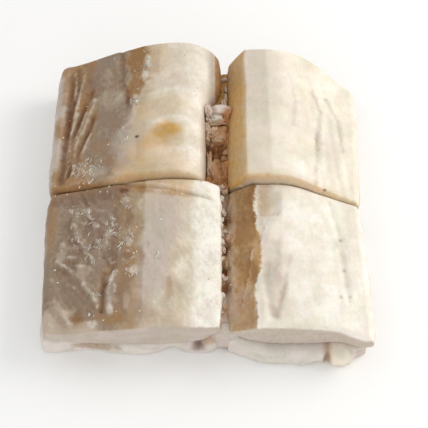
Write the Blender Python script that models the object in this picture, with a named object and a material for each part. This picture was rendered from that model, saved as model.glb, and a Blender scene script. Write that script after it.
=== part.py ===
"""Salted dried cod: the centre cut of a split fish, quartered, lying on a second layer cut the same way.

Four thick loin blocks lie two by two and keep the fish's shape. The left and the right loin slope to
a groove along the middle, and one cross cut parts the back row from the front row. Four thinner
blocks lie under them, and three lumps of torn flesh fill the back of the groove.

Shapes are worked out in millimetres and built in metres. +Z is up and the front cut looks along -Y.
The origin is the middle of the footprint, on the surface that the lower layer rests on.
"""
import math
from dataclasses import dataclass
from typing import Callable

import bmesh
import bpy
import numpy as np

METRES = 0.001

# Plan of the whole, in millimetres; the plan is drawn about the groove and moved to its middle
PLAN_CENTRE = (-0.44, -1.18)
BACK_Y = 117.0
SEAM_Y = 1.2
FRONT_Y = -109.8
LEFT_BELLY_X = -107.0
LEFT_GROOVE_X = 11.0
RIGHT_GROOVE_X = 14.6
RIGHT_BELLY_X = 105.5
NEIGHBOUR_GAP = 0.5

# Heights where the two layers meet, in millimetres
LAYER_AT_GROOVE = 17.0
LAYER_AT_MIDDLE = 11.0
LAYER_AT_BELLY = 14.5
LAYER_GAP = 0.5
GROOVE_LIFT = 4.5

# Rounding of the edges, in millimetres
CUT_EDGE_RADIUS = 2.6
BELLY_EDGE_RADIUS = 4.5
GROOVE_EDGE_RADIUS = 1.8
UNDERSIDE_RADIUS = 2.4
UNDER_TOP_RADIUS = 5.0
CORNER_PULL = 0.035

# Number of grid steps on a block
LOIN_ACROSS = 34
LOIN_ALONG = 19
LOIN_DOWN = 4
UNDER_ACROSS = 28
UNDER_ALONG = 10
UNDER_DOWN = 5
EDGE_CROWDING = 0.6

FLESH_COLOUR = (0.80, 0.72, 0.60)
UNDER_COLOUR = (0.68, 0.60, 0.52)
TORN_COLOUR = (0.50, 0.30, 0.16)


def smooth(value):
    """Ease from 0 to 1."""
    value = np.clip(value, 0.0, 1.0)
    return value * value * (3.0 - 2.0 * value)


def blend(start, end, share):
    return start + (end - start) * share


def corner_slope(column, row, seed):
    """Return a repeatable random direction for each corner of the noise lattice."""
    turn = np.sin(column * 127.1 + row * 311.7 + seed * 74.7) * 43758.5453
    angle = 2.0 * math.pi * (turn - np.floor(turn))
    return np.cos(angle), np.sin(angle)


def noise(x, y, size, seed):
    """Return smooth unevenness between about -1 and 1, with bumps of the given size."""
    x = np.asarray(x, float) / size
    y = np.asarray(y, float) / size
    column = np.floor(x)
    row = np.floor(y)
    across = x - column
    along = y - row
    values = []
    for right in (0, 1):
        for up in (0, 1):
            slope_x, slope_y = corner_slope(column + right, row + up, seed)
            values.append(slope_x * (across - right) + slope_y * (along - up))
    left = blend(values[0], values[1], smooth(along))
    right = blend(values[2], values[3], smooth(along))
    return 1.5 * blend(left, right, smooth(across))


def bump(distance, half_width):
    """Return a rounded rise of height 1 along the line where distance is 0."""
    return np.exp(-(distance / half_width) ** 2)


def between(value, low, high, fade):
    """Return 1 between low and high, and ease to 0 over the fade outside them."""
    return smooth((value - low) / fade + 1.0) * smooth((high - value) / fade + 1.0)


def crease(across, along, start, end, half_width):
    """Return a rise of height 1 along a straight line from start to end, each (across, along)."""
    share = (along - start[1]) / (end[1] - start[1])
    line = blend(start[0], end[0], share)
    return bump(across - line, half_width) * between(share, 0.0, 1.0, 0.15)


@dataclass
class Block:
    """One block of fish: its outline in plan, its section and its own relief."""

    name: str
    groove_edge: Callable
    belly_edge: Callable
    front_edge: Callable
    back_edge: Callable
    middle_x: tuple
    middle_y: tuple
    wall_relief: Callable
    top_relief: Callable = None
    ridge_heights: tuple = (0.0, 0.0)
    groove_heights: tuple = (0.0, 0.0)
    belly_heights: tuple = (0.0, 0.0)
    ridge_x: float = 0.0
    flank_width: Callable = None


def plan_point(block, s, t):
    """Return the place in plan: s runs from groove to belly, t from front to back."""
    across = 2.0 * s - 1.0
    along = 2.0 * t - 1.0
    s = 0.5 + 0.5 * across * (1.0 - CORNER_PULL * along ** 8 * np.abs(across) ** 3)
    t = 0.5 + 0.5 * along * (1.0 - CORNER_PULL * across ** 8 * np.abs(along) ** 3)
    rough_x = blend(*block.middle_x, s)
    rough_y = blend(*block.middle_y, t)
    x = blend(block.groove_edge(rough_y), block.belly_edge(rough_y), s)
    y = blend(block.front_edge(rough_x), block.back_edge(rough_x), t)
    return x, y


def section_height(block, x, y, t):
    """Return the height of the top before its edges are rounded."""
    ridge = blend(*block.ridge_heights, t)
    groove = blend(*block.groove_heights, t)
    belly = blend(*block.belly_heights, t)
    groove_x = block.groove_edge(y)
    inner = np.clip((x - groove_x) / (block.ridge_x - groove_x), 0.0, 1.0)
    rise = np.sqrt(1.0 - (1.0 - inner) ** 2)
    if block.flank_width is not None:
        flank = np.clip(np.abs(x - groove_x) / block.flank_width(y), 0.0, 1.0)
        rise = blend(rise, flank, FLANK_STRAIGHTNESS)
    outer = np.clip((x - block.ridge_x) / (block.belly_edge(y) - block.ridge_x), 0.0, 1.0)
    fall = (0.5 + 0.5 * np.cos(math.pi * outer)) ** 0.7
    inside = groove + (ridge - groove) * rise
    outside = belly + (ridge - belly) * fall
    return np.where(inner < 1.0, inside, outside)


def edge_drop(s, t, width, depth):
    """Return how far the top falls along its rounded edges."""
    total = 0.0
    sides = (
        (s * width, GROOVE_EDGE_RADIUS),
        ((1.0 - s) * width, BELLY_EDGE_RADIUS),
        (t * depth, CUT_EDGE_RADIUS),
        ((1.0 - t) * depth, CUT_EDGE_RADIUS),
    )
    for distance, radius in sides:
        total = total + rounded_inset(distance, radius) ** 4
    return total ** 0.25


def rounded_inset(distance, radius):
    """Return how far a surface draws in at a distance from its rounded edge."""
    inward = np.clip(1.0 - distance / radius, 0.0, 1.0)
    return radius * (1.0 - np.sqrt(1.0 - inward ** 2))


def from_groove(x):
    return np.maximum(LEFT_GROOVE_X - x, x - RIGHT_GROOVE_X)


def layer_height(x):
    """Return the height of the lower layer's top: it sags under the thick of each loin."""
    from_belly = np.minimum(x - LEFT_BELLY_X, RIGHT_BELLY_X - x)
    groove_rise = (LAYER_AT_GROOVE - LAYER_AT_MIDDLE) * smooth(1.0 - from_groove(x) / 34.0)
    belly_rise = (LAYER_AT_BELLY - LAYER_AT_MIDDLE) * smooth(1.0 - from_belly / 46.0)
    return LAYER_AT_MIDDLE + groove_rise + belly_rise


def underside_height(x):
    """Return the height of the upper blocks' underside: it curves up beside the groove."""
    return layer_height(x) + LAYER_GAP + GROOVE_LIFT * smooth(1.0 - from_groove(x) / 16.0)


def top_point(block, s, t):
    """Return a point of the block's top with its relief and rounded edges."""
    x, y = plan_point(block, s, t)
    width = abs(block.middle_x[1] - block.middle_x[0])
    depth = block.middle_y[1] - block.middle_y[0]
    z = section_height(block, x, y, t) + block.top_relief(x, y) - edge_drop(s, t, width, depth)
    return x, y, z


def grid_lines(count):
    """Return the shares from 0 to 1 of a block's grid, closer together near its edges."""
    steps = np.linspace(0.0, 1.0, count + 1)
    return steps - EDGE_CROWDING * np.sin(2.0 * math.pi * steps) / (2.0 * math.pi)


def border(across, along):
    """Return the grid places round a block: front, belly side, back, groove side."""
    front = [(i, 0) for i in range(across + 1)]
    belly = [(across, j) for j in range(1, along + 1)]
    back = [(i, along) for i in range(across - 1, -1, -1)]
    groove = [(0, j) for j in range(along - 1, 0, -1)]
    return front + belly + back + groove


def outward(x, y):
    """Return the directions in plan that point out of a closed line."""
    run_x = np.roll(x, -1) - np.roll(x, 1)
    run_y = np.roll(y, -1) - np.roll(y, 1)
    length = np.hypot(run_x, run_y)
    area = np.sum(x * np.roll(y, -1) - np.roll(x, -1) * y)
    turn = math.copysign(1.0, area)
    return turn * run_y / length, -turn * run_x / length


def wall_ring(block, x, y, top, bottom, share, rounded_top):
    """Return one ring of a block's wall, at a share of the way down."""
    normal_x, normal_y = outward(x, y)
    z = blend(top, bottom, share)
    push = block.wall_relief(x, y, z, normal_x, normal_y) * math.sin(math.pi * share) ** 0.5
    push = push - rounded_inset(z - bottom, UNDERSIDE_RADIUS)
    if rounded_top:
        push = push - rounded_inset(top - z, UNDER_TOP_RADIUS)
    return x + push * normal_x, y + push * normal_y, z


def join_rings(faces, upper, lower):
    """Add the band of faces between two closed rings of corners."""
    count = len(upper)
    for k in range(count):
        following = (k + 1) % count
        faces.append((upper[k], upper[following], lower[following], lower[k]))


def cap_with_strips(faces, ring, across, along):
    """Close a ring with strips that run from front to back."""
    def back(i):
        return ring[across + along + (across - i)]

    for i in range(across):
        strip = [ring[i], ring[i + 1]]
        if i == across - 1:
            strip += [ring[across + j] for j in range(1, along)]
        strip += [back(i + 1), back(i)]
        if i == 0:
            strip += ring[2 * across + along + 1:]
        faces.append(tuple(strip))


def in_metres(x, y, z):
    """Return a place in metres, measured from the middle of the footprint."""
    return (x - PLAN_CENTRE[0]) * METRES, (y - PLAN_CENTRE[1]) * METRES, z * METRES


def new_material(name, colour, roughness):
    material = bpy.data.materials.new(name)
    material.use_nodes = True
    shader = material.node_tree.nodes["Principled BSDF"]
    shader.inputs["Base Color"].default_value = (*colour, 1.0)
    shader.inputs["Roughness"].default_value = roughness
    shader.inputs["Metallic"].default_value = 0.0
    return material


def add_solid(name, corners, faces, material):
    """Make a closed solid from corners in millimetres, with its faces turned out."""
    mesh = bpy.data.meshes.new(name)
    mesh.from_pydata([in_metres(*corner) for corner in corners], [], faces)
    shape = bmesh.new()
    shape.from_mesh(mesh)
    bmesh.ops.triangulate(shape, faces=[face for face in shape.faces if len(face.verts) > 4])
    bmesh.ops.recalc_face_normals(shape, faces=shape.faces)
    shape.to_mesh(mesh)
    shape.free()
    mesh.shade_smooth()
    mesh.set_sharp_from_angle(angle=math.radians(50.0))
    mesh.materials.append(material)
    solid = bpy.data.objects.new(name, mesh)
    bpy.context.collection.objects.link(solid)
    return solid


def add_loin(block, material):
    """Build one upper block: a relief top, walls and an underside that follows the lower layer."""
    s, t = np.meshgrid(grid_lines(LOIN_ACROSS), grid_lines(LOIN_ALONG), indexing="ij")
    x, y, z = top_point(block, s, t)
    corners = list(zip(x.ravel(), y.ravel(), z.ravel()))
    rows = LOIN_ALONG + 1
    faces = []
    for i in range(LOIN_ACROSS):
        for j in range(LOIN_ALONG):
            first = i * rows + j
            faces.append((first, first + rows, first + rows + 1, first + 1))
    places = border(LOIN_ACROSS, LOIN_ALONG)
    ring = [i * rows + j for i, j in places]
    edge_x, edge_y, edge_z = (np.array([values[place] for place in places]) for values in (x, y, z))
    for down in range(1, LOIN_DOWN + 1):
        bottom = underside_height(edge_x)
        wall = wall_ring(block, edge_x, edge_y, edge_z, bottom, down / LOIN_DOWN, False)
        lower = list(range(len(corners), len(corners) + len(places)))
        corners.extend(zip(*wall))
        join_rings(faces, ring, lower)
        ring = lower
    cap_with_strips(faces, ring, LOIN_ACROSS, LOIN_ALONG)
    return add_solid(block.name, corners, faces, material)


def add_under_block(block, material):
    """Build one lower block: walls rounded at both edges, a covered top and a flat underside."""
    s_lines = grid_lines(UNDER_ACROSS)
    t_lines = grid_lines(UNDER_ALONG)
    places = border(UNDER_ACROSS, UNDER_ALONG)
    s = np.array([s_lines[i] for i, j in places])
    t = np.array([t_lines[j] for i, j in places])
    edge_x, edge_y = plan_point(block, s, t)
    corners = []
    faces = []
    rings = []
    for down in range(UNDER_DOWN + 1):
        wall = wall_ring(block, edge_x, edge_y, layer_height(edge_x), 0.0, down / UNDER_DOWN, True)
        rings.append(list(range(len(corners), len(corners) + len(places))))
        corners.extend(zip(*wall))
        if down:
            join_rings(faces, rings[-2], rings[-1])
    cap_with_strips(faces, rings[0], UNDER_ACROSS, UNDER_ALONG)
    faces.append(tuple(rings[-1]))
    return add_solid(block.name, corners, faces, material)


# Outlines in plan: each edge gives x for a y, or y for an x
FLANK_STRAIGHTNESS = 0.88
BACK_GROOVE_RECESS = 11.0
SEAM_SLANT = 10.0
CORNER_CUT = 20.0


def straight(value):
    return lambda place: value + 0.0 * place


def left_belly(y):
    return LEFT_BELLY_X + 3.2 * smooth(-y / 110.0) + 0.8 * noise(y, 0.0, 40.0, 11)


def right_belly(y):
    return RIGHT_BELLY_X - 1.4 * np.cos(y / 36.0) + 0.6 * noise(y, 0.0, 34.0, 12)


def back_left_groove(y):
    """The back left block is torn away along the groove, except at its back end."""
    return LEFT_GROOVE_X - BACK_GROOVE_RECESS * smooth((92.0 - y) / 28.0)


def front_left_groove(y):
    return LEFT_GROOVE_X - 0.6 - 0.6 * noise(y, 0.0, 6.0, 13)


def front_right_groove(y):
    """The front right block's foot is ragged, with hollows between the tatters."""
    return RIGHT_GROOVE_X - 0.8 + 1.0 * noise(y, 0.0, 9.0, 14)


def right_seam(x):
    return SEAM_Y - SEAM_SLANT * smooth((x - 46.0) / 62.0)


def right_back(x):
    return BACK_Y - CORNER_CUT * smooth((x - 58.0) / 50.0) ** 1.3


def right_front(x):
    return FRONT_Y - 6.5 * smooth((x - 80.0) / 25.0)


def under_left_front(x):
    """The lower front edge draws back in two shallow bays."""
    return FRONT_Y - 0.4 + 4.5 * bump(x + 23.0, 9.0) + 3.0 * bump(x + 78.0, 16.0) + 3.0 * bump(x - 9.0, 6.0)


def under_right_front(x):
    """The lower front edge stands out from the block above it and turns back at the belly."""
    return FRONT_Y - 7.6 * smooth((x - 14.0) / 30.0) + 5.0 * smooth((x - 92.0) / 8.0)


def under_right_belly(y):
    return RIGHT_BELLY_X - 2.0 + 0.6 * noise(y, 0.0, 30.0, 15)


def under_left_belly(y):
    return LEFT_BELLY_X + 1.2 + 0.9 * noise(y, 0.0, 26.0, 16)


# Reliefs: heights on a block's top, and pushes out of its walls
def back_left_top(x, y):
    """A rolled rim and wrinkles at the belly, a tear at the middle and low steps over the loin."""
    relief = 0.6 * noise(x, y, 24.0, 3)
    rim = -99.0 + 3.0 * smooth((y - 10.0) / 95.0)
    relief = relief + 0.9 * bump(x - rim + 4.5, 3.0)
    relief = relief - 3.0 * bump(x - rim, 2.1) * between(y, 12.0, 100.0, 9.0)
    relief = relief - 1.5 * crease(x, y, (-88.0, 112.0), (-93.0, 80.0), 1.6)
    relief = relief - 1.6 * crease(x, y, (-81.0, 84.0), (-93.0, 48.0), 1.8)
    relief = relief - 1.4 * crease(x, y, (-79.0, 58.0), (-92.0, 18.0), 1.8)
    relief = relief - 1.2 * crease(x, y, (-87.0, 44.0), (-94.0, 14.0), 1.5)
    tear = -60.0 + 12.0 * smooth((112.0 - y) / 55.0)
    torn = between(y, 60.0, 120.0, 8.0)
    relief = relief - 1.7 * bump(x - tear, 1.8) * torn
    relief = relief - 1.0 * smooth((x - tear) / 3.0) * smooth(1.0 - (x - tear - 6.0) / 12.0) * torn
    for step_y in (74.0, 48.0, 25.0):
        arc = step_y - 5.0 * ((x + 18.0) / 22.0) ** 2
        relief = relief + 0.8 * bump(y - arc, 3.5) * between(x, -40.0, 0.0, 8.0)
    return relief


def front_left_top(x, y):
    """A wedge crack at the seam, a long crack and rough flesh at the belly, a step at the loin."""
    relief = 0.6 * noise(x, y, 24.0, 4)
    behind_crack = smooth((y + 1.0 + 0.23 * (x + 52.0)) / 2.0)
    relief = relief + 0.9 * behind_crack * between(x, -50.0, 0.0, 6.0)
    relief = relief - 2.2 * crease(y, x, (-1.5, -52.0), (-14.0, 2.0), 1.6)
    relief = relief - 1.0 * crease(x, y, (-84.0, -2.0), (-79.0, -14.0), 1.3)
    relief = relief - 2.0 * crease(x, y, (-59.0, -64.0), (-64.0, -78.0), 1.6)
    relief = relief - 2.0 * crease(x, y, (-64.5, -78.0), (-65.5, -98.0), 1.6)
    relief = relief + 1.1 * crease(x, y, (-58.0, -70.0), (-60.0, -96.0), 3.2)
    relief = relief + 0.8 * crease(x, y, (-84.0, -78.0), (-71.0, -98.0), 2.2)
    relief = relief + 0.8 * crease(x, y, (-99.0, -72.0), (-87.0, -104.0), 2.2)
    rough = between(x, -90.0, -62.0, 8.0) * between(y, -62.0, -16.0, 8.0)
    relief = relief + 0.8 * rough * noise(x, y, 7.0, 17)
    return relief + 0.7 * smooth((x + 42.0) / 3.0)


def back_right_top(x, y):
    """Long shallow furrows that lean towards the belly."""
    relief = 0.5 * noise(x, y, 26.0, 5)
    relief = relief - 1.1 * crease(x, y, (72.0, 92.0), (79.0, -4.0), 2.4)
    relief = relief - 1.1 * crease(x, y, (82.0, 86.0), (91.0, -6.0), 2.4)
    return relief - 0.9 * crease(x, y, (91.0, 80.0), (98.0, -4.0), 2.0)


def front_right_top(x, y):
    """A hollow behind the torn edge, low furrows near the belly."""
    relief = 0.5 * noise(x, y, 24.0, 6)
    relief = relief - 1.4 * between(x, 37.0, 46.0, 5.0) * between(y, -24.0, -8.0, 5.0)
    relief = relief - 1.0 * crease(x, y, (82.0, -12.0), (88.0, -40.0), 2.2)
    relief = relief - 1.0 * crease(x, y, (88.0, -52.0), (91.0, -88.0), 2.2)
    return relief + 0.8 * crease(x, y, (34.0, -62.0), (38.0, -104.0), 2.6)


def front_right_flank(y):
    """The front right block's torn edge runs in and out along the groove."""
    return 17.0 + 7.0 * bump(y + 32.0, 7.0) + 4.0 * bump(y + 74.0, 7.0) + 1.6 * noise(y, 0.0, 8.0, 18)


def back_right_flank(y):
    return 13.0 + 0.8 * noise(y, 0.0, 30.0, 19)


def wall_roughness(x, y, z, normal_x, normal_y):
    """Outer walls swell a little; walls that face a neighbour only draw back."""
    rough = 0.4 * noise(x + y, z, 9.0, 7) + 0.3 * noise(x - y, z, 4.5, 8)
    side = smooth((np.abs(x) - 90.0) / 12.0) * np.maximum(0.0, normal_x * np.sign(x))
    end = smooth((np.abs(y) - 95.0) / 10.0) * np.maximum(0.0, normal_y * np.sign(y))
    outer = np.clip(side + end, 0.0, 1.0)
    return blend(rough - 0.8, rough + 0.9, outer)


def under_left_wall(x, y, z, normal_x, normal_y):
    """A hole opens in the front near the groove."""
    hole = bump(x + 4.5, 4.0) * smooth((z - 4.0) / 3.0) * smooth(-normal_y * 2.0)
    return wall_roughness(x, y, z, normal_x, normal_y) - 7.0 * hole * smooth((-95.0 - y) / 8.0)


def under_right_wall(x, y, z, normal_x, normal_y):
    """A knob stands out of the front near the belly, with a notch beside it."""
    knob = 2.6 * np.sqrt(np.maximum(0.0, 1.0 - ((x - 86.0) / 7.5) ** 2))
    fold = 1.8 * bump(x - 66.0 - 0.6 * (z - 7.0), 3.0)
    notch = 4.5 * bump(x - 77.5, 1.9)
    front = smooth(-normal_y * 2.0) * smooth((-95.0 - y) / 8.0)
    return wall_roughness(x, y, z, normal_x, normal_y) + (knob + fold - notch) * front


BACK_ROW = (SEAM_Y, BACK_Y)
FRONT_ROW = (FRONT_Y, SEAM_Y)
LEFT_COLUMN = (LEFT_GROOVE_X, LEFT_BELLY_X)
RIGHT_COLUMN = (RIGHT_GROOVE_X, RIGHT_BELLY_X)
UNDER_GROOVE_X = 0.5 * (LEFT_GROOVE_X + RIGHT_GROOVE_X)

LOINS = (
    Block(
        name="loin_back_left",
        groove_edge=back_left_groove,
        belly_edge=left_belly,
        front_edge=straight(SEAM_Y),
        back_edge=straight(BACK_Y),
        middle_x=LEFT_COLUMN,
        middle_y=BACK_ROW,
        wall_relief=wall_roughness,
        top_relief=back_left_top,
        ridge_heights=(48.0, 56.5),
        groove_heights=(30.0, 31.0),
        belly_heights=(27.0, 29.5),
        ridge_x=-20.0,
    ),
    Block(
        name="loin_back_right",
        groove_edge=straight(RIGHT_GROOVE_X),
        belly_edge=right_belly,
        front_edge=right_seam,
        back_edge=right_back,
        middle_x=RIGHT_COLUMN,
        middle_y=BACK_ROW,
        wall_relief=wall_roughness,
        top_relief=back_right_top,
        ridge_heights=(46.5, 49.5),
        groove_heights=(28.0, 32.0),
        belly_heights=(28.0, 26.0),
        ridge_x=41.0,
        flank_width=back_right_flank,
    ),
    Block(
        name="loin_front_left",
        groove_edge=front_left_groove,
        belly_edge=left_belly,
        front_edge=straight(FRONT_Y),
        back_edge=straight(SEAM_Y - NEIGHBOUR_GAP),
        middle_x=LEFT_COLUMN,
        middle_y=FRONT_ROW,
        wall_relief=wall_roughness,
        top_relief=front_left_top,
        ridge_heights=(35.5, 42.5),
        groove_heights=(32.0, 35.0),
        belly_heights=(26.0, 27.0),
        ridge_x=-21.0,
    ),
    Block(
        name="loin_front_right",
        groove_edge=front_right_groove,
        belly_edge=right_belly,
        front_edge=right_front,
        back_edge=lambda x: right_seam(x) - NEIGHBOUR_GAP,
        middle_x=RIGHT_COLUMN,
        middle_y=FRONT_ROW,
        wall_relief=wall_roughness,
        top_relief=front_right_top,
        ridge_heights=(34.5, 38.5),
        groove_heights=(28.0, 28.0),
        belly_heights=(27.0, 27.5),
        ridge_x=44.0,
        flank_width=front_right_flank,
    ),
)

UNDER_BLOCKS = (
    Block(
        name="under_back_left",
        groove_edge=straight(UNDER_GROOVE_X - 0.5 * NEIGHBOUR_GAP),
        belly_edge=under_left_belly,
        front_edge=straight(SEAM_Y),
        back_edge=straight(BACK_Y - 2.0),
        middle_x=LEFT_COLUMN,
        middle_y=BACK_ROW,
        wall_relief=wall_roughness,
    ),
    Block(
        name="under_back_right",
        groove_edge=straight(UNDER_GROOVE_X + 0.5 * NEIGHBOUR_GAP),
        belly_edge=under_right_belly,
        front_edge=right_seam,
        back_edge=lambda x: right_back(x) - 2.0,
        middle_x=RIGHT_COLUMN,
        middle_y=BACK_ROW,
        wall_relief=wall_roughness,
    ),
    Block(
        name="under_front_left",
        groove_edge=straight(UNDER_GROOVE_X - 0.5 * NEIGHBOUR_GAP),
        belly_edge=under_left_belly,
        front_edge=under_left_front,
        back_edge=straight(SEAM_Y - NEIGHBOUR_GAP),
        middle_x=LEFT_COLUMN,
        middle_y=FRONT_ROW,
        wall_relief=under_left_wall,
    ),
    Block(
        name="under_front_right",
        groove_edge=straight(UNDER_GROOVE_X + 0.5 * NEIGHBOUR_GAP),
        belly_edge=under_right_belly,
        front_edge=under_right_front,
        back_edge=lambda x: right_seam(x) - NEIGHBOUR_GAP,
        middle_x=RIGHT_COLUMN,
        middle_y=FRONT_ROW,
        wall_relief=under_right_wall,
    ),
)

# Lumps of torn flesh in the groove: name, front y, back y and height of the top, in millimetres
TORN_FLESH = (
    ("torn_flesh_front", 5.0, 30.0, 33.0),
    ("torn_flesh_middle", 40.0, 57.5, 38.0),
    ("torn_flesh_back", 59.0, 73.0, 42.0),
)
TORN_FLESH_CLEARANCE = 0.7
TORN_FLESH_FULLNESS = 0.62
FLANK_FOOT = 28.0
FLANK_RISE = 19.0
FLANK_RUN = 13.0


def fuller(value):
    """Push a sphere's coordinate out towards a block's."""
    return math.copysign(abs(value) ** TORN_FLESH_FULLNESS, value)


def add_torn_flesh(name, front_y, back_y, top, material):
    """Build one ragged lump that fills the groove from the lower layer up."""
    shape = bmesh.new()
    bmesh.ops.create_icosphere(shape, subdivisions=3, radius=1.0)
    bottom = LAYER_AT_GROOVE + LAYER_GAP
    for corner in shape.verts:
        across, along, up = corner.co
        rough = float(noise(2.0 * across + 1.3 * up, 2.0 * along - up, 0.8, front_y))
        draw_in = 0.8 + 0.2 * min(1.0, rough + 0.3)
        z = blend(bottom, top, 0.5 + 0.5 * fuller(up) * draw_in)
        y = blend(front_y, back_y, 0.5 + 0.5 * fuller(along) * draw_in)
        flank = FLANK_RUN * max(0.0, z - FLANK_FOOT) / FLANK_RISE
        left = back_left_groove(y) + TORN_FLESH_CLEARANCE
        right = RIGHT_GROOVE_X + flank - TORN_FLESH_CLEARANCE
        x = blend(left, right, 0.5 + 0.5 * fuller(across) * draw_in)
        corner.co = in_metres(x, y, z)
    mesh = bpy.data.meshes.new(name)
    shape.to_mesh(mesh)
    shape.free()
    mesh.shade_smooth()
    mesh.materials.append(material)
    lump = bpy.data.objects.new(name, mesh)
    bpy.context.collection.objects.link(lump)
    return lump


def clear_scene():
    for item in list(bpy.data.objects):
        bpy.data.objects.remove(item, do_unlink=True)


def main():
    clear_scene()
    for block in LOINS:
        add_loin(block, new_material(block.name, FLESH_COLOUR, 0.55))
    for block in UNDER_BLOCKS:
        add_under_block(block, new_material(block.name, UNDER_COLOUR, 0.65))
    for name, front_y, back_y, top in TORN_FLESH:
        add_torn_flesh(name, front_y, back_y, top, new_material(name, TORN_COLOUR, 0.7))


main()
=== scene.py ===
"""Gives the salted dried cod its looks: cut flesh, torn flesh in the groove, loose fibres and crumbs.

Shapes are worked out in millimetres, drawn about the groove, and built in metres in the frame of the CAD.
"""

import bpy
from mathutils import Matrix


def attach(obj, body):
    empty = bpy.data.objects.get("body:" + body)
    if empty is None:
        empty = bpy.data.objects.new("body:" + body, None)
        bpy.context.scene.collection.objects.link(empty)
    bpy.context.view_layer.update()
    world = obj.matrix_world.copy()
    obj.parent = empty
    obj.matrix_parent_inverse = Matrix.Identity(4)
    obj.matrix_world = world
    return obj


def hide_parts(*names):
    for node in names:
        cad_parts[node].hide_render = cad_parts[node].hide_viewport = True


bl_info = {
    "name": "Salted dried cod",
    "version": (1, 0, 0),
    "blender": (4, 5, 0),
    "location": "3D View > Sidebar > Dried cod",
    "description": "Four loin blocks of salted dried cod on a lower layer",
    "category": "Object",
}

import math
import random
from dataclasses import dataclass
from typing import Callable

import bmesh
import bpy
import numpy as np
from bpy.props import FloatProperty, FloatVectorProperty, PointerProperty
from mathutils import Vector

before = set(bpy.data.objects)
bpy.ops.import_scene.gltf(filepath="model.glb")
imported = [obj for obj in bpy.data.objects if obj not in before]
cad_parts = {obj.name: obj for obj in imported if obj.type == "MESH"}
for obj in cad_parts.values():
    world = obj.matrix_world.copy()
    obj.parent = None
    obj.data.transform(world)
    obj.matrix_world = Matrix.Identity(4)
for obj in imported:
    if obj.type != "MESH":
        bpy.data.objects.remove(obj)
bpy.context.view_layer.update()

METRES = 0.001
BODY = "root"

# Plan of the whole, in millimetres; the plan is drawn about the groove and moved to its middle
PLAN_CENTRE = (-0.44, -1.18)
BACK_Y = 117
SEAM_Y = 1.2
FRONT_Y = -109.8
LEFT_BELLY_X = -107
LEFT_GROOVE_X = 11
RIGHT_GROOVE_X = 14.6
RIGHT_BELLY_X = 105.5
# Neighbours touch in the photograph; the solids keep a wider gap
NEIGHBOUR_GAP = 0.2

# Heights where the two layers meet, in millimetres
LAYER_AT_GROOVE = 17
LAYER_AT_MIDDLE = 11
LAYER_AT_BELLY = 14.5
LAYER_GAP = 0.5
GROOVE_LIFT = 4.5

# Rounding of the edges, in millimetres
CUT_EDGE_RADIUS = 2.6
BELLY_EDGE_RADIUS = 4.5
GROOVE_EDGE_RADIUS = 1.8
UNDERSIDE_RADIUS = 2.4
UNDER_TOP_RADIUS = 5
CORNER_PULL = 0.035

# Grid steps on a block: across and along its top, and down its walls
LOIN_STEPS = (264, 224, 28)
UNDER_STEPS = (220, 150, 34)
EDGE_CROWDING = 0.35
# A hollow is measured against the mean height around it, over the top's width divided by this
HOLLOWS_ACROSS = 44
# Height in millimetres over which the shades of a top fade out down its walls
INNER_WALL_FADE = 11
OUTER_WALL_FADE = 2.6

# Look of each flesh: size of its grain in millimetres, roughness and softness
LEFT_LOOK = (2.4, 0.52, 0.18)
RIGHT_LOOK = (3, 0.5, 0.22)
UNDER_LOOK = (2.6, 0.55, 0.18)
TORN_LOOK = (1.8, 0.6, 0.2)

# The shades that a vertex can hold, each from 0 to 1, drawn over the flesh in this order
SHADES = ("light", "ash", "grey", "gold", "tan", "brown")


# Helpers for shapes

def smooth(value):
    """Ease from 0 to 1."""
    value = np.clip(value, 0, 1)
    return value * value * (3 - 2 * value)


def blend(start, end, share):
    return start + (end - start) * share


def corner_slope(column, row, seed):
    """Return a repeatable random direction for each corner of the noise lattice."""
    turn = np.sin(column * 127.1 + row * 311.7 + seed * 74.7) * 43758.5453
    angle = 2 * math.pi * (turn - np.floor(turn))
    return np.cos(angle), np.sin(angle)


def noise(x, y, size, seed):
    """Return smooth unevenness between about -1 and 1, with bumps of the given size."""
    x = np.asarray(x, float) / size
    y = np.asarray(y, float) / size
    column = np.floor(x)
    row = np.floor(y)
    across = x - column
    along = y - row
    values = []
    for right in (0, 1):
        for up in (0, 1):
            slope_x, slope_y = corner_slope(column + right, row + up, seed)
            values.append(slope_x * (across - right) + slope_y * (along - up))
    left = blend(values[0], values[1], smooth(along))
    right = blend(values[2], values[3], smooth(along))
    return 1.5 * blend(left, right, smooth(across))


def rough(x, y, size, seed):
    """Return noise with two finer layers on it."""
    return noise(x, y, size, seed) + 0.5 * noise(x, y, size / 2.1, seed + 50) \
        + 0.25 * noise(x, y, size / 4.3, seed + 90)


def fibres(x, y, lean, length, width, seed):
    """Return noise drawn out into fibres; lean is their angle from the groove, in degrees."""
    angle = math.radians(lean)
    along = y * math.cos(angle) + x * math.sin(angle)
    across = x * math.cos(angle) - y * math.sin(angle)
    wander = 0.5 * width * noise(along, across, 2.2 * width, seed + 7)
    fine = noise(across + wander, along * width / length, width, seed)
    return fine + 0.5 * noise(across + wander, along * width / length, width / 2.2, seed + 3)


def bump(distance, half_width):
    """Return a rounded rise of height 1 along the line where distance is 0."""
    return np.exp(-(distance / half_width) ** 2)


def between(value, low, high, fade):
    """Return 1 between low and high, and ease to 0 over the fade outside them."""
    return smooth((value - low) / fade + 1) * smooth((high - value) / fade + 1)


def crease(across, along, start, end, half_width):
    """Return a rise of height 1 along a straight line from start to end, each (across, along)."""
    share = (along - start[1]) / (end[1] - start[1])
    line = blend(start[0], end[0], share)
    return bump(across - line, half_width) * between(share, 0, 1, 0.15)


def patch(x, y, middle, half_size, seed, raggedness=0.35):
    """Return 1 inside a ragged oval and 0 outside it."""
    radius = np.hypot((x - middle[0]) / half_size[0], (y - middle[1]) / half_size[1])
    radius = radius + raggedness * rough(x, y, 0.7 * min(half_size) + 2, seed)
    return smooth(1.6 - radius)


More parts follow.
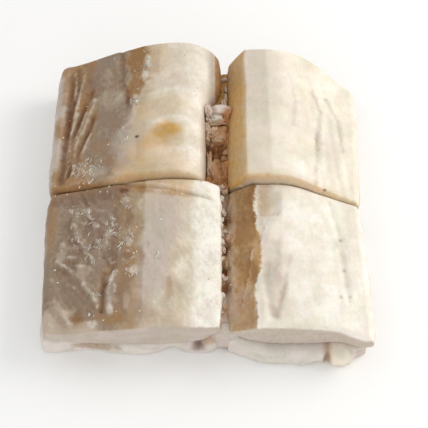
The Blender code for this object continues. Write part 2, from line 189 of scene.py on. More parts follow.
def stroke(x, y, points, half_width, seed=0, jag=0.6):
    """Return a rise of height 1 along a line through points, with a wavering edge."""
    nearest = np.full(np.shape(x), 1e6)
    x = x + jag * noise(x, y, 3, seed)
    y = y + jag * noise(x, y, 3, seed + 1)
    for start, end in zip(points, points[1:]):
        run = np.array(end, float) - start
        share = ((x - start[0]) * run[0] + (y - start[1]) * run[1]) / (run @ run)
        share = np.clip(share, 0, 1)
        distance = np.hypot(x - start[0] - share * run[0], y - start[1] - share * run[1])
        nearest = np.minimum(nearest, distance)
    return bump(nearest, half_width)


def side_of(x, y, points, jag=0.8, seed=0):
    """Return the distance right of a line through points from back to front, and where it runs."""
    line_y = [point[1] for point in reversed(points)]
    line_x = [point[0] for point in reversed(points)]
    line = np.interp(y, line_y, line_x) + jag * rough(y, 0 * y, 3.2, seed)
    return x - line, between(y, line_y[0], line_y[-1], 3)


def flake_lip(x, y, points, height, fall, seed):
    """Return the rise of a flake whose torn edge follows a line, highest at the edge."""
    side, run = side_of(x, y, points, seed=seed)
    return height * run * smooth(side / 0.8 + 0.5) * np.exp(-np.maximum(side, 0) / fall)


def soften(values, reach):
    """Return a grid of values averaged over its neighbours, for finding hollows."""
    for axis in (0, 1):
        padded = np.concatenate([np.repeat(values.take([0], axis), reach + 1, axis), values,
                                 np.repeat(values.take([-1], axis), reach, axis)], axis)
        total = np.cumsum(padded, axis)
        width = 2 * reach + 1
        count = values.shape[axis]
        high = total.take(range(width, width + count), axis)
        low = total.take(range(0, count), axis)
        values = (high - low) / width
    return values


def shades(shape, **given):
    """Return all the shades for a set of vertices as one array."""
    zero = np.zeros(np.shape(shape))
    return np.stack([np.clip(given.get(name, zero) + zero, 0, 1) for name in SHADES])


# One block: its outline, its section, its relief and its shades

@dataclass
class Block:
    """One block of fish: its outline in plan, its section, its own relief and its shades."""

    name: str
    groove_edge: Callable
    belly_edge: Callable
    front_edge: Callable
    back_edge: Callable
    middle_x: tuple
    middle_y: tuple
    wall_relief: Callable
    wall_shades: Callable
    top_relief: Callable = None
    fine_relief: Callable = None
    top_shades: Callable = None
    strewn: Callable = None
    ridge_heights: tuple = (0, 0)
    groove_heights: tuple = (0, 0)
    belly_heights: tuple = (0, 0)
    ridge_x: float = 0
    flank_width: Callable = None


FLANK_STRAIGHTNESS = 0.88
BACK_GROOVE_RECESS = 11
SEAM_SLANT = 10
CORNER_CUT = 20


def plan_point(block, s, t):
    """Return the place in plan: s runs from groove to belly, t from front to back."""
    across = 2 * s - 1
    along = 2 * t - 1
    s = 0.5 + 0.5 * across * (1 - CORNER_PULL * along ** 8 * np.abs(across) ** 3)
    t = 0.5 + 0.5 * along * (1 - CORNER_PULL * across ** 8 * np.abs(along) ** 3)
    rough_x = blend(*block.middle_x, s)
    rough_y = blend(*block.middle_y, t)
    x = blend(block.groove_edge(rough_y), block.belly_edge(rough_y), s)
    y = blend(block.front_edge(rough_x), block.back_edge(rough_x), t)
    return x, y


def section_height(block, x, y, t):
    """Return the height of the top before its edges are rounded."""
    ridge = blend(*block.ridge_heights, t)
    groove = blend(*block.groove_heights, t)
    belly = blend(*block.belly_heights, t)
    groove_x = block.groove_edge(y)
    inner = np.clip((x - groove_x) / (block.ridge_x - groove_x), 0, 1)
    rise = np.sqrt(1 - (1 - inner) ** 2)
    if block.flank_width is not None:
        flank = np.clip(np.abs(x - groove_x) / block.flank_width(y), 0, 1)
        rise = blend(rise, flank, FLANK_STRAIGHTNESS)
    outer = np.clip((x - block.ridge_x) / (block.belly_edge(y) - block.ridge_x), 0, 1)
    fall = (0.5 + 0.5 * np.cos(math.pi * outer)) ** 0.7
    inside = groove + (ridge - groove) * rise
    outside = belly + (ridge - belly) * fall
    return np.where(inner < 1, inside, outside)


def rounded_inset(distance, radius):
    """Return how far a surface draws in at a distance from its rounded edge."""
    inward = np.clip(1 - distance / radius, 0, 1)
    return radius * (1 - np.sqrt(1 - inward ** 2))


def edge_drop(s, t, width, depth):
    """Return how far the top falls along its rounded edges."""
    total = 0
    sides = (
        (s * width, GROOVE_EDGE_RADIUS),
        ((1 - s) * width, BELLY_EDGE_RADIUS),
        (t * depth, CUT_EDGE_RADIUS),
        ((1 - t) * depth, CUT_EDGE_RADIUS),
    )
    for distance, radius in sides:
        total += rounded_inset(distance, radius) ** 4
    return total ** 0.25


def from_groove(x):
    return np.maximum(LEFT_GROOVE_X - x, x - RIGHT_GROOVE_X)


def layer_height(x):
    """Return the height of the lower layer's top: it sags under the thick of each loin."""
    from_belly = np.minimum(x - LEFT_BELLY_X, RIGHT_BELLY_X - x)
    groove_rise = (LAYER_AT_GROOVE - LAYER_AT_MIDDLE) * smooth(1 - from_groove(x) / 34)
    belly_rise = (LAYER_AT_BELLY - LAYER_AT_MIDDLE) * smooth(1 - from_belly / 46)
    return LAYER_AT_MIDDLE + groove_rise + belly_rise


def underside_height(x):
    """Return the height of the upper blocks' underside: it curves up beside the groove."""
    return layer_height(x) + LAYER_GAP + GROOVE_LIFT * smooth(1 - from_groove(x) / 16)


# Outlines in plan: each edge gives x for a y, or y for an x

def straight(value):
    return lambda place: value + 0 * place


def left_belly(y):
    return LEFT_BELLY_X + 3.2 * smooth(-y / 110) + 0.8 * noise(y, 0, 40, 11)


def right_belly(y):
    return RIGHT_BELLY_X - 1.4 * np.cos(y / 36) + 0.6 * noise(y, 0, 34, 12)


def back_left_groove(y):
    """The back left block is torn away along the groove, except at its back end."""
    return LEFT_GROOVE_X - BACK_GROOVE_RECESS * smooth((92 - y) / 28)


def front_left_groove(y):
    return LEFT_GROOVE_X - 0.6 - 0.6 * noise(y, 0, 6, 13)


def front_right_groove(y):
    """The front right block's foot is ragged, with hollows between the tatters."""
    return RIGHT_GROOVE_X - 0.8 + 1 * noise(y, 0, 9, 14)


def right_seam(x):
    return SEAM_Y - SEAM_SLANT * smooth((x - 46) / 62)


def right_back(x):
    return BACK_Y - CORNER_CUT * smooth((x - 58) / 50) ** 1.3


def right_front(x):
    return FRONT_Y - 6.5 * smooth((x - 80) / 25)


def under_left_front(x):
    """The lower front edge draws back in two shallow bays."""
    return FRONT_Y - 0.4 + 4.5 * bump(x + 23, 9) + 3 * bump(x + 78, 16) + 3 * bump(x - 9, 6)


def under_right_front(x):
    """The lower front edge stands out from the block above it and turns back at the belly."""
    return FRONT_Y - 7.6 * smooth((x - 14) / 30) + 5 * smooth((x - 92) / 8)


def under_right_belly(y):
    return RIGHT_BELLY_X - 2 + 0.6 * noise(y, 0, 30, 15)


def under_left_belly(y):
    return LEFT_BELLY_X + 1.2 + 0.9 * noise(y, 0, 26, 16)


def front_right_flank(y):
    """The front right block's torn edge runs in and out along the groove."""
    return 17 + 7 * bump(y + 32, 7) + 4 * bump(y + 74, 7) + 1.6 * noise(y, 0, 8, 18)


def back_right_flank(y):
    return 13 + 0.8 * noise(y, 0, 30, 19)


# Main relief of each block, the same as in the CAD: rise, start, end and half width of each crease
BACK_LEFT_CREASES = (
    (-1.5, (-88, 112), (-93, 80), 1.6),
    (-1.6, (-81, 84), (-93, 48), 1.8),
    (-1.4, (-79, 58), (-92, 18), 1.8),
    (-1.2, (-87, 44), (-94, 14), 1.5),
)
FRONT_LEFT_CREASES = (
    (-1, (-84, -2), (-79, -14), 1.3),
    (-2, (-59, -64), (-64, -78), 1.6),
    (-2, (-64.5, -78), (-65.5, -98), 1.6),
    (1.1, (-58, -70), (-60, -96), 3.2),
    (0.8, (-84, -78), (-71, -98), 2.2),
    (0.8, (-99, -72), (-87, -104), 2.2),
)
WEDGE_CRACK = ((-1.5, -52), (-14, 2), 1.6)
BACK_RIGHT_CREASES = (
    (-1.1, (72, 92), (79, -4), 2.4),
    (-1.1, (82, 86), (91, -6), 2.4),
    (-0.9, (91, 80), (98, -4), 2),
)
FRONT_RIGHT_CREASES = (
    (-1, (82, -12), (88, -40), 2.2),
    (-1, (88, -52), (91, -88), 2.2),
    (0.8, (34, -62), (38, -104), 2.6),
)
CROSS_STEPS = (74, 48, 25)


def creases(x, y, table):
    return sum(rise * crease(x, y, start, end, half_width) for rise, start, end, half_width in table)


def rim_line(y):
    return -99 + 3 * smooth((y - 10) / 95)


def tear_line(y):
    return -60 + 12 * smooth((112 - y) / 55)


def back_left_top(x, y):
    """A rolled rim and wrinkles at the belly, a tear at the middle and low steps over the loin."""
    from_rim = x - rim_line(y)
    from_tear = x - tear_line(y)
    torn = between(y, 60, 120, 8)
    relief = 0.6 * noise(x, y, 24, 3) + creases(x, y, BACK_LEFT_CREASES)
    relief += 0.9 * bump(from_rim + 4.5, 3) - 3 * bump(from_rim, 2.1) * between(y, 12, 100, 9)
    relief -= 1.7 * bump(from_tear, 1.8) * torn
    relief -= smooth(from_tear / 3) * smooth(1 - (from_tear - 6) / 12) * torn
    for step_y in CROSS_STEPS:
        relief += 0.8 * bump(y - step_y + 5 * ((x + 18) / 22) ** 2, 3.5) * between(x, -40, 0, 8)
    return relief


def front_left_top(x, y):
    """A wedge crack at the seam, a long crack and rough flesh at the belly, a step at the loin."""
    behind_crack = smooth((y + 1 + 0.23 * (x + 52)) / 2)
    rough_area = between(x, -90, -62, 8) * between(y, -62, -16, 8)
    relief = 0.6 * noise(x, y, 24, 4) + creases(x, y, FRONT_LEFT_CREASES)
    relief += 0.9 * behind_crack * between(x, -50, 0, 6) - 2.2 * crease(y, x, *WEDGE_CRACK)
    return relief + 0.8 * rough_area * noise(x, y, 7, 17) + 0.7 * smooth((x + 42) / 3)


def back_right_top(x, y):
    """Long shallow furrows that lean towards the belly."""
    return 0.5 * noise(x, y, 26, 5) + creases(x, y, BACK_RIGHT_CREASES)


def front_right_top(x, y):
    """A hollow behind the torn edge, low furrows near the belly."""
    hollow = between(x, 37, 46, 5) * between(y, -24, -8, 5)
    return 0.5 * noise(x, y, 24, 6) + creases(x, y, FRONT_RIGHT_CREASES) - 1.4 * hollow


def wall_roughness(x, y, z, normal_x, normal_y):
    """Outer walls swell a little; walls that face a neighbour only draw back."""
    uneven = 0.4 * noise(x + y, z, 9, 7) + 0.3 * noise(x - y, z, 4.5, 8)
    outer = outer_wall(x, y, normal_x, normal_y)
    return blend(uneven - 0.8, uneven + 0.9, outer)


def outer_wall(x, y, normal_x, normal_y):
    """Return 1 on walls that face out of the whole, and 0 on those that face a neighbour."""
    side = smooth((np.abs(x) - 90) / 12) * np.maximum(0, normal_x * np.sign(x))
    end = smooth((np.abs(y) - 95) / 10) * np.maximum(0, normal_y * np.sign(y))
    return np.clip(side + end, 0, 1)


def under_left_wall(x, y, z, normal_x, normal_y):
    """A hole opens in the front near the groove."""
    hole = bump(x + 4.5, 4) * smooth((z - 4) / 3) * smooth(-normal_y * 2)
    return wall_roughness(x, y, z, normal_x, normal_y) - 7 * hole * smooth((-95 - y) / 8)


def under_right_wall(x, y, z, normal_x, normal_y):
    """A knob stands out of the front near the belly, with a notch beside it."""
    knob = 2.6 * np.sqrt(np.maximum(0, 1 - ((x - 86) / 7.5) ** 2))
    fold = 1.8 * bump(x - 66 - 0.6 * (z - 7), 3)
    notch = 4.5 * bump(x - 77.5, 1.9)
    front = smooth(-normal_y * 2) * smooth((-95 - y) / 8)
    return wall_roughness(x, y, z, normal_x, normal_y) + (knob + fold - notch) * front


# Fine relief and shades of each block

TEAR_RIGHT_EDGE = ((-41, 112), (-42, 98), (-43, 82), (-47, 70), (-51, 60))
FRONT_STEP = ((-41, -6), (-42, -31), (-41.5, -62), (-40, -90), (-39, -106))
RIGHT_WALL_EDGE = (
    (33, -2), (32, -19), (33, -33), (36.2, -46), (35.6, -67), (31.5, -82), (32.3, -103))
SMALL_MARKS = ((88.3, -40.6), (89.5, -65), (92.2, -85), (86.4, -86))
SHELF_HOLES = (-23, -46, -63.5, -78)

# Flakes of the front right block: height, how far it falls off, paleness, seed, and the torn edge
TOP_FLAKES = (
    (0.55, 4, 1, 103, ((33.6, -3), (32.4, -19), (33.4, -34))),
    (0.55, 4, 1, 104, ((46, -24), (38.8, -34), (35.9, -47.5), (30.2, -53), (28.7, -61))),
    (0.55, 4, 1, 105, ((34.5, -72), (28.4, -88))),
    (0.55, 4, 1, 106, ((33, -93), (32.5, -107))),
)
WALL_FLAKE = (1, 3, 0.6, 108, ((29.6, -55), (27.9, -71), (25.3, -82.5), (23.2, -94)))

# Lines on the tops: shade, its strength, rise in millimetres, half width, and the points of the line
# Each line's shade follows its rise: partly streaks in the flesh, partly painted highlight on raised
# lines and painted shade in sunken ones
BACK_LEFT_LINES = (
    ("light", 0.32, 0.9, 2, ((-95, 107), (-93.4, 92), (-91.6, 78), (-92.6, 66))),
    ("light", 0.26, 0.8, 2, ((-88, 110.6), (-90, 90), (-91.4, 72.2), (-93.8, 51), (-94.6, 35))),
    ("light", 0.30, 1.1, 2.3, ((-78.4, 76), (-82, 62), (-85.4, 52), (-89.4, 38.6), (-91.1, 13.9))),
    ("light", 0.22, 0.8, 1.9, ((-84.6, 66.6), (-91.2, 44.8), (-93.5, 27.6))),
    ("light", 0.20, 0.7, 1.8, ((-80, 46), (-86, 30), (-87.6, 10))),
    ("brown", 0.42, -0.8, 2, ((-91.6, 110), (-91.2, 92), (-94.8, 70), (-96, 50))),
    ("brown", 0.45, -0.8, 2, ((-84.4, 84), (-88.4, 60), (-92, 42), (-93.6, 14))),
    ("brown", 0.34, -0.6, 2, ((-79.5, 62), (-86.4, 38), (-88, 16))),
    ("brown", 0.24, -0.4, 2.6, ((-84, 108), (-83, 92), (-80, 80))),
    ("brown", 0.58, -0.4, 2.4, ((-60.6, 113), (-58.4, 88), (-53.6, 68))),
    ("light", 0.30, 0.4, 2.8, ((-47.6, 70), (-51, 52.5), (-59, 39))),
    ("light", 0.20, 0.2, 3.2, ((-37.6, 67.7), (-21.6, 72.6), (-7.7, 70.7), (-3.5, 62.6))),
    ("light", 0.24, 0.25, 2.8, ((-34.9, 44.8), (-24.6, 49), (-14.3, 48.6), (-8, 44))),
    ("light", 0.22, 0.2, 2.8, ((-32.8, 16.7), (-22.8, 21.2), (-13.9, 23.2), (-5.9, 22.7))),
    ("tan", 0.25, -0.2, 2, ((-47, 33), (-46.5, 21))),
    ("tan", 0.22, -0.2, 3, ((-66, 100), (-68, 70), (-64, 48))),
)
FRONT_LEFT_LINES = (
    ("tan", 0.50, -0.1, 2.2, ((-52, -2), (-47.3, -5.2), (-30.2, -10.2), (-13.6, -12.5), (-3.7, -12))),
    ("gold", 0.40, 0, 3.4, ((-46, -3), (-30, -8), (-14, -10.5))),
    ("tan", 0.45, -0.2, 4, ((-61.5, -66), (-66, -72.4), (-66.3, -85.5), (-66, -98))),
    ("brown", 0.50, -0.4, 2, ((-64.4, -70), (-66.3, -85.5), (-65.8, -97))),
    ("light", 0.24, 0.5, 2, ((-61, -72), (-62.6, -84), (-60.6, -96), (-58.4, -101))),
    ("light", 0.26, 0.6, 2, ((-99.3, -80), (-92, -94.7), (-85, -106))),
    ("light", 0.20, 0.6, 2, ((-96.6, -56.8), (-88, -64), (-80.7, -71.6), (-72.2, -85.2), (-67.6, -94.3))),
    ("light", 0.30, 0.5, 1.8, ((-79, -76.8), (-70, -89.4))),
    ("light", 0.24, 0.5, 2.2, ((-102, -96), (-97, -107))),
    ("brown", 0.24, -0.5, 3, ((-102, -86), (-95, -98), (-88, -107))),
    ("brown", 0.22, -0.5, 3.2, ((-98, -62), (-84, -75), (-76, -88), (-71, -98))),
    ("brown", 0.16, -0.3, 3, ((-92, -74), (-86, -88), (-79, -98))),
    ("light", 0.26, 0.3, 2, ((-89.5, -16.3), (-83, -17), (-77.5, -22.7), (-72, -30))),
    ("light", 0.24, 0.3, 2.4, ((-86.7, -27.8), (-84, -38), (-78.9, -46))),
    ("light", 0.26, 0.3, 2, ((-63.2, -26), (-63, -38), (-66, -50))),
    ("brown", 0.18, -0.3, 2.6, ((-91, -22), (-88, -42), (-80, -54))),
    ("brown", 0.24, -0.3, 2.2, ((-70, -30), (-68, -48), (-62, -62))),
    ("brown", 0.30, -0.2, 2.6, ((-60, -14), (-58, -30), (-60, -50), (-58, -64))),
)
FRONT_RIGHT_LINES = (
    ("ash", 0.50, -0.4, 2.2, ((54.5, -58), (50.5, -76), (47, -92), (45, -104))),
    ("tan", 0.26, -0.2, 1.7, ((51.5, -79), (48, -92), (45.5, -104))),
    ("ash", 0.50, -0.4, 3, ((40, -64), (39, -84), (42.5, -102))),
    ("grey", 0.12, 0, 2.4, ((40.5, -70), (40, -86), (43.5, -101))),
    ("ash", 0.40, -0.3, 2.6, ((48, -44), (46, -62), (44.5, -80))),
)
BACK_RIGHT_LINES = (
    ("ash", 0.55, -0.8, 2, ((74.7, 84), (79.8, 66), (76.5, 40.4), (74.7, 16), (73.2, 0))),
    ("ash", 0.45, -0.6, 1.8, ((84.3, 80.4), (92.1, 62.8), (94, 35.7))),
    ("ash", 0.30, -0.2, 1.6, ((58, 96), (62, 70), (60, 48))),
    ("light", 0.40, 0.3, 1.6, ((64.6, 16), (65, 2))),
    ("light", 0.35, 0.3, 2, ((80, 60), (81, 36), (79, 10))),
)

# Patches on the tops: shade, its strength, the middle, and half the size
BACK_LEFT_PATCHES = (
    ("light", 0.70, (-41.5, 102), (1.6, 5)),
    ("light", 0.70, (-43, 88), (1.8, 4)),
    ("light", 0.60, (-49.6, 71.5), (1.6, 2.4)),
    ("light", 0.30, (-56, 32), (8, 10)),
    ("ash", 0.60, (-58, 28), (14, 17)),
    ("ash", 0.35, (-64, 58), (8, 9)),
    ("light", 0.35, (-74, 12), (7, 4)),
    ("ash", 0.15, (-22, 88), (12, 14)),
    ("gold", 0.45, (-28, 37), (8, 7)),
    ("gold", 0.35, (-22, 39.5), (6, 4)),
    ("gold", 0.30, (-29, 34), (14, 10)),
    ("tan", 0.28, (-27.5, 37), (8, 5.5)),
    ("gold", 0.20, (-34, 104), (7, 14)),
    ("grey", 0.35, (-37, 100), (4, 14)),
    ("gold", 0.25, (-32, 58), (16, 9)),
    ("gold", 0.28, (-33, 9), (26, 8)),
    ("gold", 0.30, (-38, 24), (16, 9)),
    ("light", 0.30, (-66, 74), (7, 9)),
    ("light", 0.25, (-72, 94), (5, 8)),
    ("tan", 0.40, (-65.6, 18.7), (5, 4.5)),
    ("brown", 0.50, (-53, 66), (2.6, 7)),
    ("brown", 1.00, (-47.1, 35.5), (1.5, 0.8)),
    ("light", 0.40, (-84, 18), (4, 5)),
    ("tan", 0.25, (-72, 30), (6, 10)),
    ("brown", 0.15, (-78, 92), (8, 10)),
)
FRONT_LEFT_PATCHES = (
    ("brown", 0.60, (-54.5, -5.4), (2.6, 1.8)),
    ("brown", 0.35, (-78, -7), (26, 5)),
    ("tan", 0.50, (-102, -24), (2.6, 24)),
    ("ash", 0.35, (-67, -24), (8, 14)),
    ("light", 0.55, (-52.9, -13.4), (2.4, 2.4)),
    ("brown", 0.35, (-49.6, -30.4), (2.4, 5)),
    ("light", 0.60, (-49.6, -47.5), (2, 2.6)),
    ("brown", 0.30, (-50.5, -58), (3, 3.4)),
    ("light", 0.50, (-52.6, -60.6), (1.2, 2)),
    ("light", 0.75, (-45.4, -69), (2.8, 3)),
    ("light", 0.60, (-59.8, -73.4), (1.8, 3)),
    ("light", 0.50, (-57.4, -81.6), (1.6, 2.6)),
    ("light", 0.60, (-59.6, -97.5), (2.2, 4)),
    ("tan", 0.60, (-80.6, -102.7), (4, 4.6)),
    ("brown", 0.35, (-80.6, -102), (3, 3.6)),
    ("tan", 0.50, (-59.8, -103.4), (8, 3.4)),
    ("light", 0.70, (-70.7, -107), (2.6, 1.8)),
    ("light", 0.45, (-30.4, -89), (3.6, 9)),
    ("light", 0.20, (-34, -62), (5, 10)),
    ("tan", 0.45, (-22.9, -83.4), (1.8, 7)),
    ("ash", 0.60, (-34, -62), (9, 28)),
    ("ash", 0.45, (-26, -30), (12, 18)),
    ("ash", 0.35, (-52, -40), (5, 7)),
    ("ash", 0.30, (-54, -90), (5, 8)),
    ("light", 0.10, (-84, -38), (8, 13)),
    ("light", 0.08, (-67, -40), (5, 12)),
    ("light", 0.10, (-84, -20), (9, 5)),
    ("brown", 0.20, (-82, -36), (12, 18)),
    ("tan", 0.30, (-52, -22), (3, 7)),
    ("tan", 0.30, (-48, -58), (3, 8)),
    ("brown", 0.16, (-52, -84), (5, 12)),
    ("light", 0.35, (-94, -50), (3, 8)),
    ("light", 0.30, (-78, -66), (4, 7)),
    ("light", 0.30, (-56, -32), (2.5, 5)),
    ("light", 0.30, (-50, -92), (2, 7)),
    ("brown", 0.30, (-76, -30), (4, 7)),
    ("brown", 0.25, (-88, -62), (5, 6)),
    ("brown", 0.25, (-60, -56), (3, 6)),
)
BACK_RIGHT_PATCHES = (
    ("ash", 0.25, (38, 84), (11, 30)),
    ("ash", 0.16, (66, 50), (9, 16)),
    ("ash", 0.30, (86, 30), (5, 26)),
    ("brown", 0.70, (80, -3), (1, 0.7)),
)
FRONT_RIGHT_PATCHES = (
    ("gold", 0.20, (40, -12), (6, 12)),
    ("tan", 0.25, (38, -14), (4, 14)),
    ("grey", 0.26, (40, -12), (5, 10)),
    ("ash", 0.40, (41, -14), (8, 14)),
    ("light", 0.40, (54, -22), (6, 8)),
    ("ash", 0.40, (41, -62), (7, 16)),
    ("tan", 0.14, (46, -80), (4, 10)),
    ("ash", 0.25, (48, -92), (7, 14)),
    ("ash", 0.20, (88, -66), (5, 24)),
    ("tan", 0.25, (36.5, -38), (2.6, 7)),
    ("light", 0.30, (70, -96), (14, 8)),
)


def drift(x, y, seed):
    """Return a place moved about by broad and fine noise, for borders between shades."""
    moved_x = x + 6.5 * rough(x, y, 21, seed) + 2.2 * rough(x, y, 6, seed + 2)
    moved_y = y + 6.5 * rough(x, y, 21, seed + 1) + 2.2 * rough(x, y, 6, seed + 3)
    return moved_x, moved_y


def drawn_lines(x, y, lines):
    """Return the rise of all lines on a top, and their shades."""
    rise = np.zeros(np.shape(x))
    layers = {shade: np.zeros(np.shape(x)) for shade in SHADES}
    for index, (shade, strength, height, half_width, points) in enumerate(lines):
        line = stroke(x, y, points, half_width, 300 + 5 * index, jag=0.7)
        broken = smooth(0.75 + 0.7 * noise(x, y, 9, 301 + 5 * index))
        rise = rise + height * line
        layers[shade] = layers[shade] + strength * line * broken
    return rise, layers


def add(layers, **amounts):
    """Lay more of some shades over a top."""
    for shade, amount in amounts.items():
        layers[shade] = layers[shade] + amount


def add_patches(x, y, patches, layers):
    for index, (shade, strength, middle, half_size) in enumerate(patches):
        layers[shade] = layers[shade] + strength * patch(x, y, middle, half_size, 500 + index)


def uncover(layers):
    """Let the light marks show through the darker shades that lie over them."""
    seen = 1 - 0.85 * np.clip(layers["light"], 0, 1)
    for shade in ("grey", "tan", "brown"):
        layers[shade] = layers[shade] * seen


def skin(x, y, seed):
    """Return the fine unevenness that all cut and dried flesh has."""
    return 0.07 * rough(x, y, 2.4, seed) + 0.14 * rough(x, y, 8, seed + 1)


def back_left_fine(x, y):
    relief = skin(x, y, 21) + drawn_lines(x, y, BACK_LEFT_LINES)[0]
    along_rim = between(y, 12, 100, 9)
    rim = rim_line(y)
    waver = 1.1 * noise(y, 0, 17, 22)
    relief += along_rim * (3 * bump(x - rim, 2.1) - 2.3 * bump(x - rim - waver, 2.9))
    wrinkled = between(x, -97, -80, 8)
    relief += 0.50 * wrinkled * fibres(x, y, 14, 24, 5, 22)
    frayed = between(x, -92, -72, 6) * between(y, 6, 30, 7)
    relief += 0.30 * frayed * fibres(x, y, -30, 6, 2.2, 23)
    torn = smooth((x - tear_line(y)) / 2) * between(y, 62, 130, 6) * smooth((-36 - x) / 8)
    relief += 0.26 * torn * rough(x, y, 4, 25)
    relief += 0.8 * bump(x - tear_line(y), 1.8) * between(y, 60, 120, 8)
    relief += flake_lip(x, y, TEAR_RIGHT_EDGE, 0.45, 5, 26)
    relief += 0.22 * rough(x, y, 11, 27)
    return relief - 0.7 * bump(np.hypot(x + 47.1, y - 35.5), 1.2)


def back_left_shades(x, y):
    wx, wy = drift(x, y, 31)
    layers = drawn_lines(x, y, BACK_LEFT_LINES)[1]
    grey_edge = np.interp(y, (5, 30, 60, 110), (-54, -56, -47, -53))
    # At the groove edge the grey here and the ash below are partly grey flesh, partly painted shade that
    # the right block casts on this flank
    add(layers,
        grey=0.98 * smooth((wx + 104) / 10) * smooth((grey_edge - wx) / 20 + 0.35) * smooth((wy + 1) / 15)
        + 0.35 * smooth((x - 1.5) / 3))
    wedge = smooth((wx - tear_line(y) + 1) / 4) * between(y, 64, 130, 8)
    right_side = side_of(x, y, TEAR_RIGHT_EDGE, seed=26)[0]
    wedge = wedge * smooth(0.4 - (right_side + 3 * rough(x, y, 8, 37)) / 7)
    groove_wall = smooth((x - 5.5) / 1.6) * smooth((y - 78) / 5)
    # Where the top rolls down to the seam it takes tan, brown and gold: partly yellowed flesh, partly
    # painted shade at the seam
    front_rim = smooth((6 - y + noise(x, y, 9, 38)) / 4.5)
    to_left = smooth((-58 - x) / 16)
    by_groove = smooth((x + 5) / 5) * smooth((70 - y) / 6)
    add(layers,
        tan=wedge + 0.9 * groove_wall + front_rim * (0.35 + 0.45 * to_left)
        + 0.68 * between(wx, -100, -82, 6) + 0.3 * by_groove,
        # The brown along rim_line is partly browned flesh, partly painted shade in the valley behind the
        # rolled rim
        brown=0.55 * bump(x - rim_line(y) - 0.5, 2.8) * between(y, 10, 104, 6)
        + 0.25 * groove_wall + 0.30 * front_rim * to_left + 0.20 * wedge)
    add_patches(x, y, BACK_LEFT_PATCHES, layers)
    uncover(layers)
    add(layers, light=0.42 * smooth((wx + 48) / 18) + 0.22 * smooth((wx + 24) / 16),
        ash=0.8 * smooth((x + 1) / 4) + 0.5 * by_groove + 0.90 * between(wx, -113, -98, 4),
        gold=0.8 * groove_wall + 0.35 * wedge + 0.35 * front_rim * (1 - to_left))
    return shades(x, **layers)


def front_left_fine(x, y):
    relief = skin(x, y, 51) + drawn_lines(x, y, FRONT_LEFT_LINES)[0]
    relief += 1.2 * crease(y, x, *WEDGE_CRACK) - 0.5 * creases(x, y, FRONT_LEFT_CREASES[1:3])
    frayed = between(x, -94, -60, 8) * between(y, -64, -12, 8)
    relief += 0.36 * frayed * (fibres(x, y, -35, 9, 3.2, 52) + rough(x, y, 5, 53))
    relief += 0.34 * between(x, -100, -64, 8) * fibres(x, y, -33, 22, 5, 58)
    column = between(x, -58, -43, 3)
    relief += 0.26 * column * rough(x, y, 4.6, 54)
    relief += flake_lip(x, y, FRONT_STEP, 0.2, 9, 55) + 0.5 * front_left_strewn(x, y)[0]
    feathered = smooth((x + 42) / 6) * smooth((-6 - x) / 12)
    return relief + feathered * (0.16 * fibres(x, y, -24, 12, 3.2, 56) + 0.22 * rough(x, y, 10, 57))


def front_left_shades(x, y):
    wx = drift(x, y, 61)[0]
    layers = drawn_lines(x, y, FRONT_LEFT_LINES)[1]
    feather = fibres(x, y, -24, 12, 3.2, 56)
    clouds = rough(x, y, 14, 60)
    step = side_of(x, y, FRONT_STEP, seed=55)[0] + 4.5 * rough(x, y, 12, 59)
    softer = 6 + 9 * smooth((-50 - y) / 40)
    right_of_step = smooth(0.5 + step / softer)
    behind_crack = smooth((y + 1 + 0.23 * (x + 52)) / 3)
    column = smooth((wx + 62) / 8) * (1 - right_of_step)
    corner = patch(x, y, (-99, -102), (11, 9), 62, 0.6)
    corner = np.maximum(corner, smooth((-103 - y) / 2.5) * smooth((-62 - x) / 10))
    add(layers,
        grey=0.98 * smooth((wx + 113) / 10) * smooth((-50 - wx) / 12 + 0.3) * (1 - 0.75 * corner)
        + 0.60 * column,
        tan=0.36 * column * smooth(0.6 + 0.9 * clouds)
        # The tan along the seam at the back edge is partly browned flesh, partly painted shade at the
        # seam
        + 0.40 * smooth((y + 6) / 5) * smooth((-54 - x) / 4))
    add_patches(x, y, FRONT_LEFT_PATCHES, layers)
    add(layers, light=0.28 * front_left_strewn(x, y)[0])
    uncover(layers)
    add(layers,
        light=0.26 * right_of_step * smooth(feather + 0.5 * clouds + 0.3) + 0.36 * smooth((wx + 24) / 14)
        # The light on the right shoulder is partly paler flesh, partly painted light on the slope that
        # faces the main light
        + 0.50 * smooth((x + 12) / 8) - 0.12 * behind_crack * smooth((-4 - x) / 10),
        gold=0.08 * column + 0.25 * behind_crack * smooth((x + 50) / 12) * smooth((-2 - x) / 10),
        ash=0.35 * between(wx, -42, -22, 8) + 0.5 * corner)
    return shades(x, **layers)


def back_right_fine(x, y):
    relief = skin(x, y, 81) + drawn_lines(x, y, BACK_RIGHT_LINES)[0]
    strength = 0.45 + 0.4 * noise(x, y, 19, 84)
    for _, *course in BACK_RIGHT_CREASES:
        relief += strength * crease(x, y, *course)
    relief += 0.20 * fibres(x, y, -6, 40, 9, 82) * smooth((x - 50) / 24)
    return relief + 0.22 * rough(x, y, 15, 83)


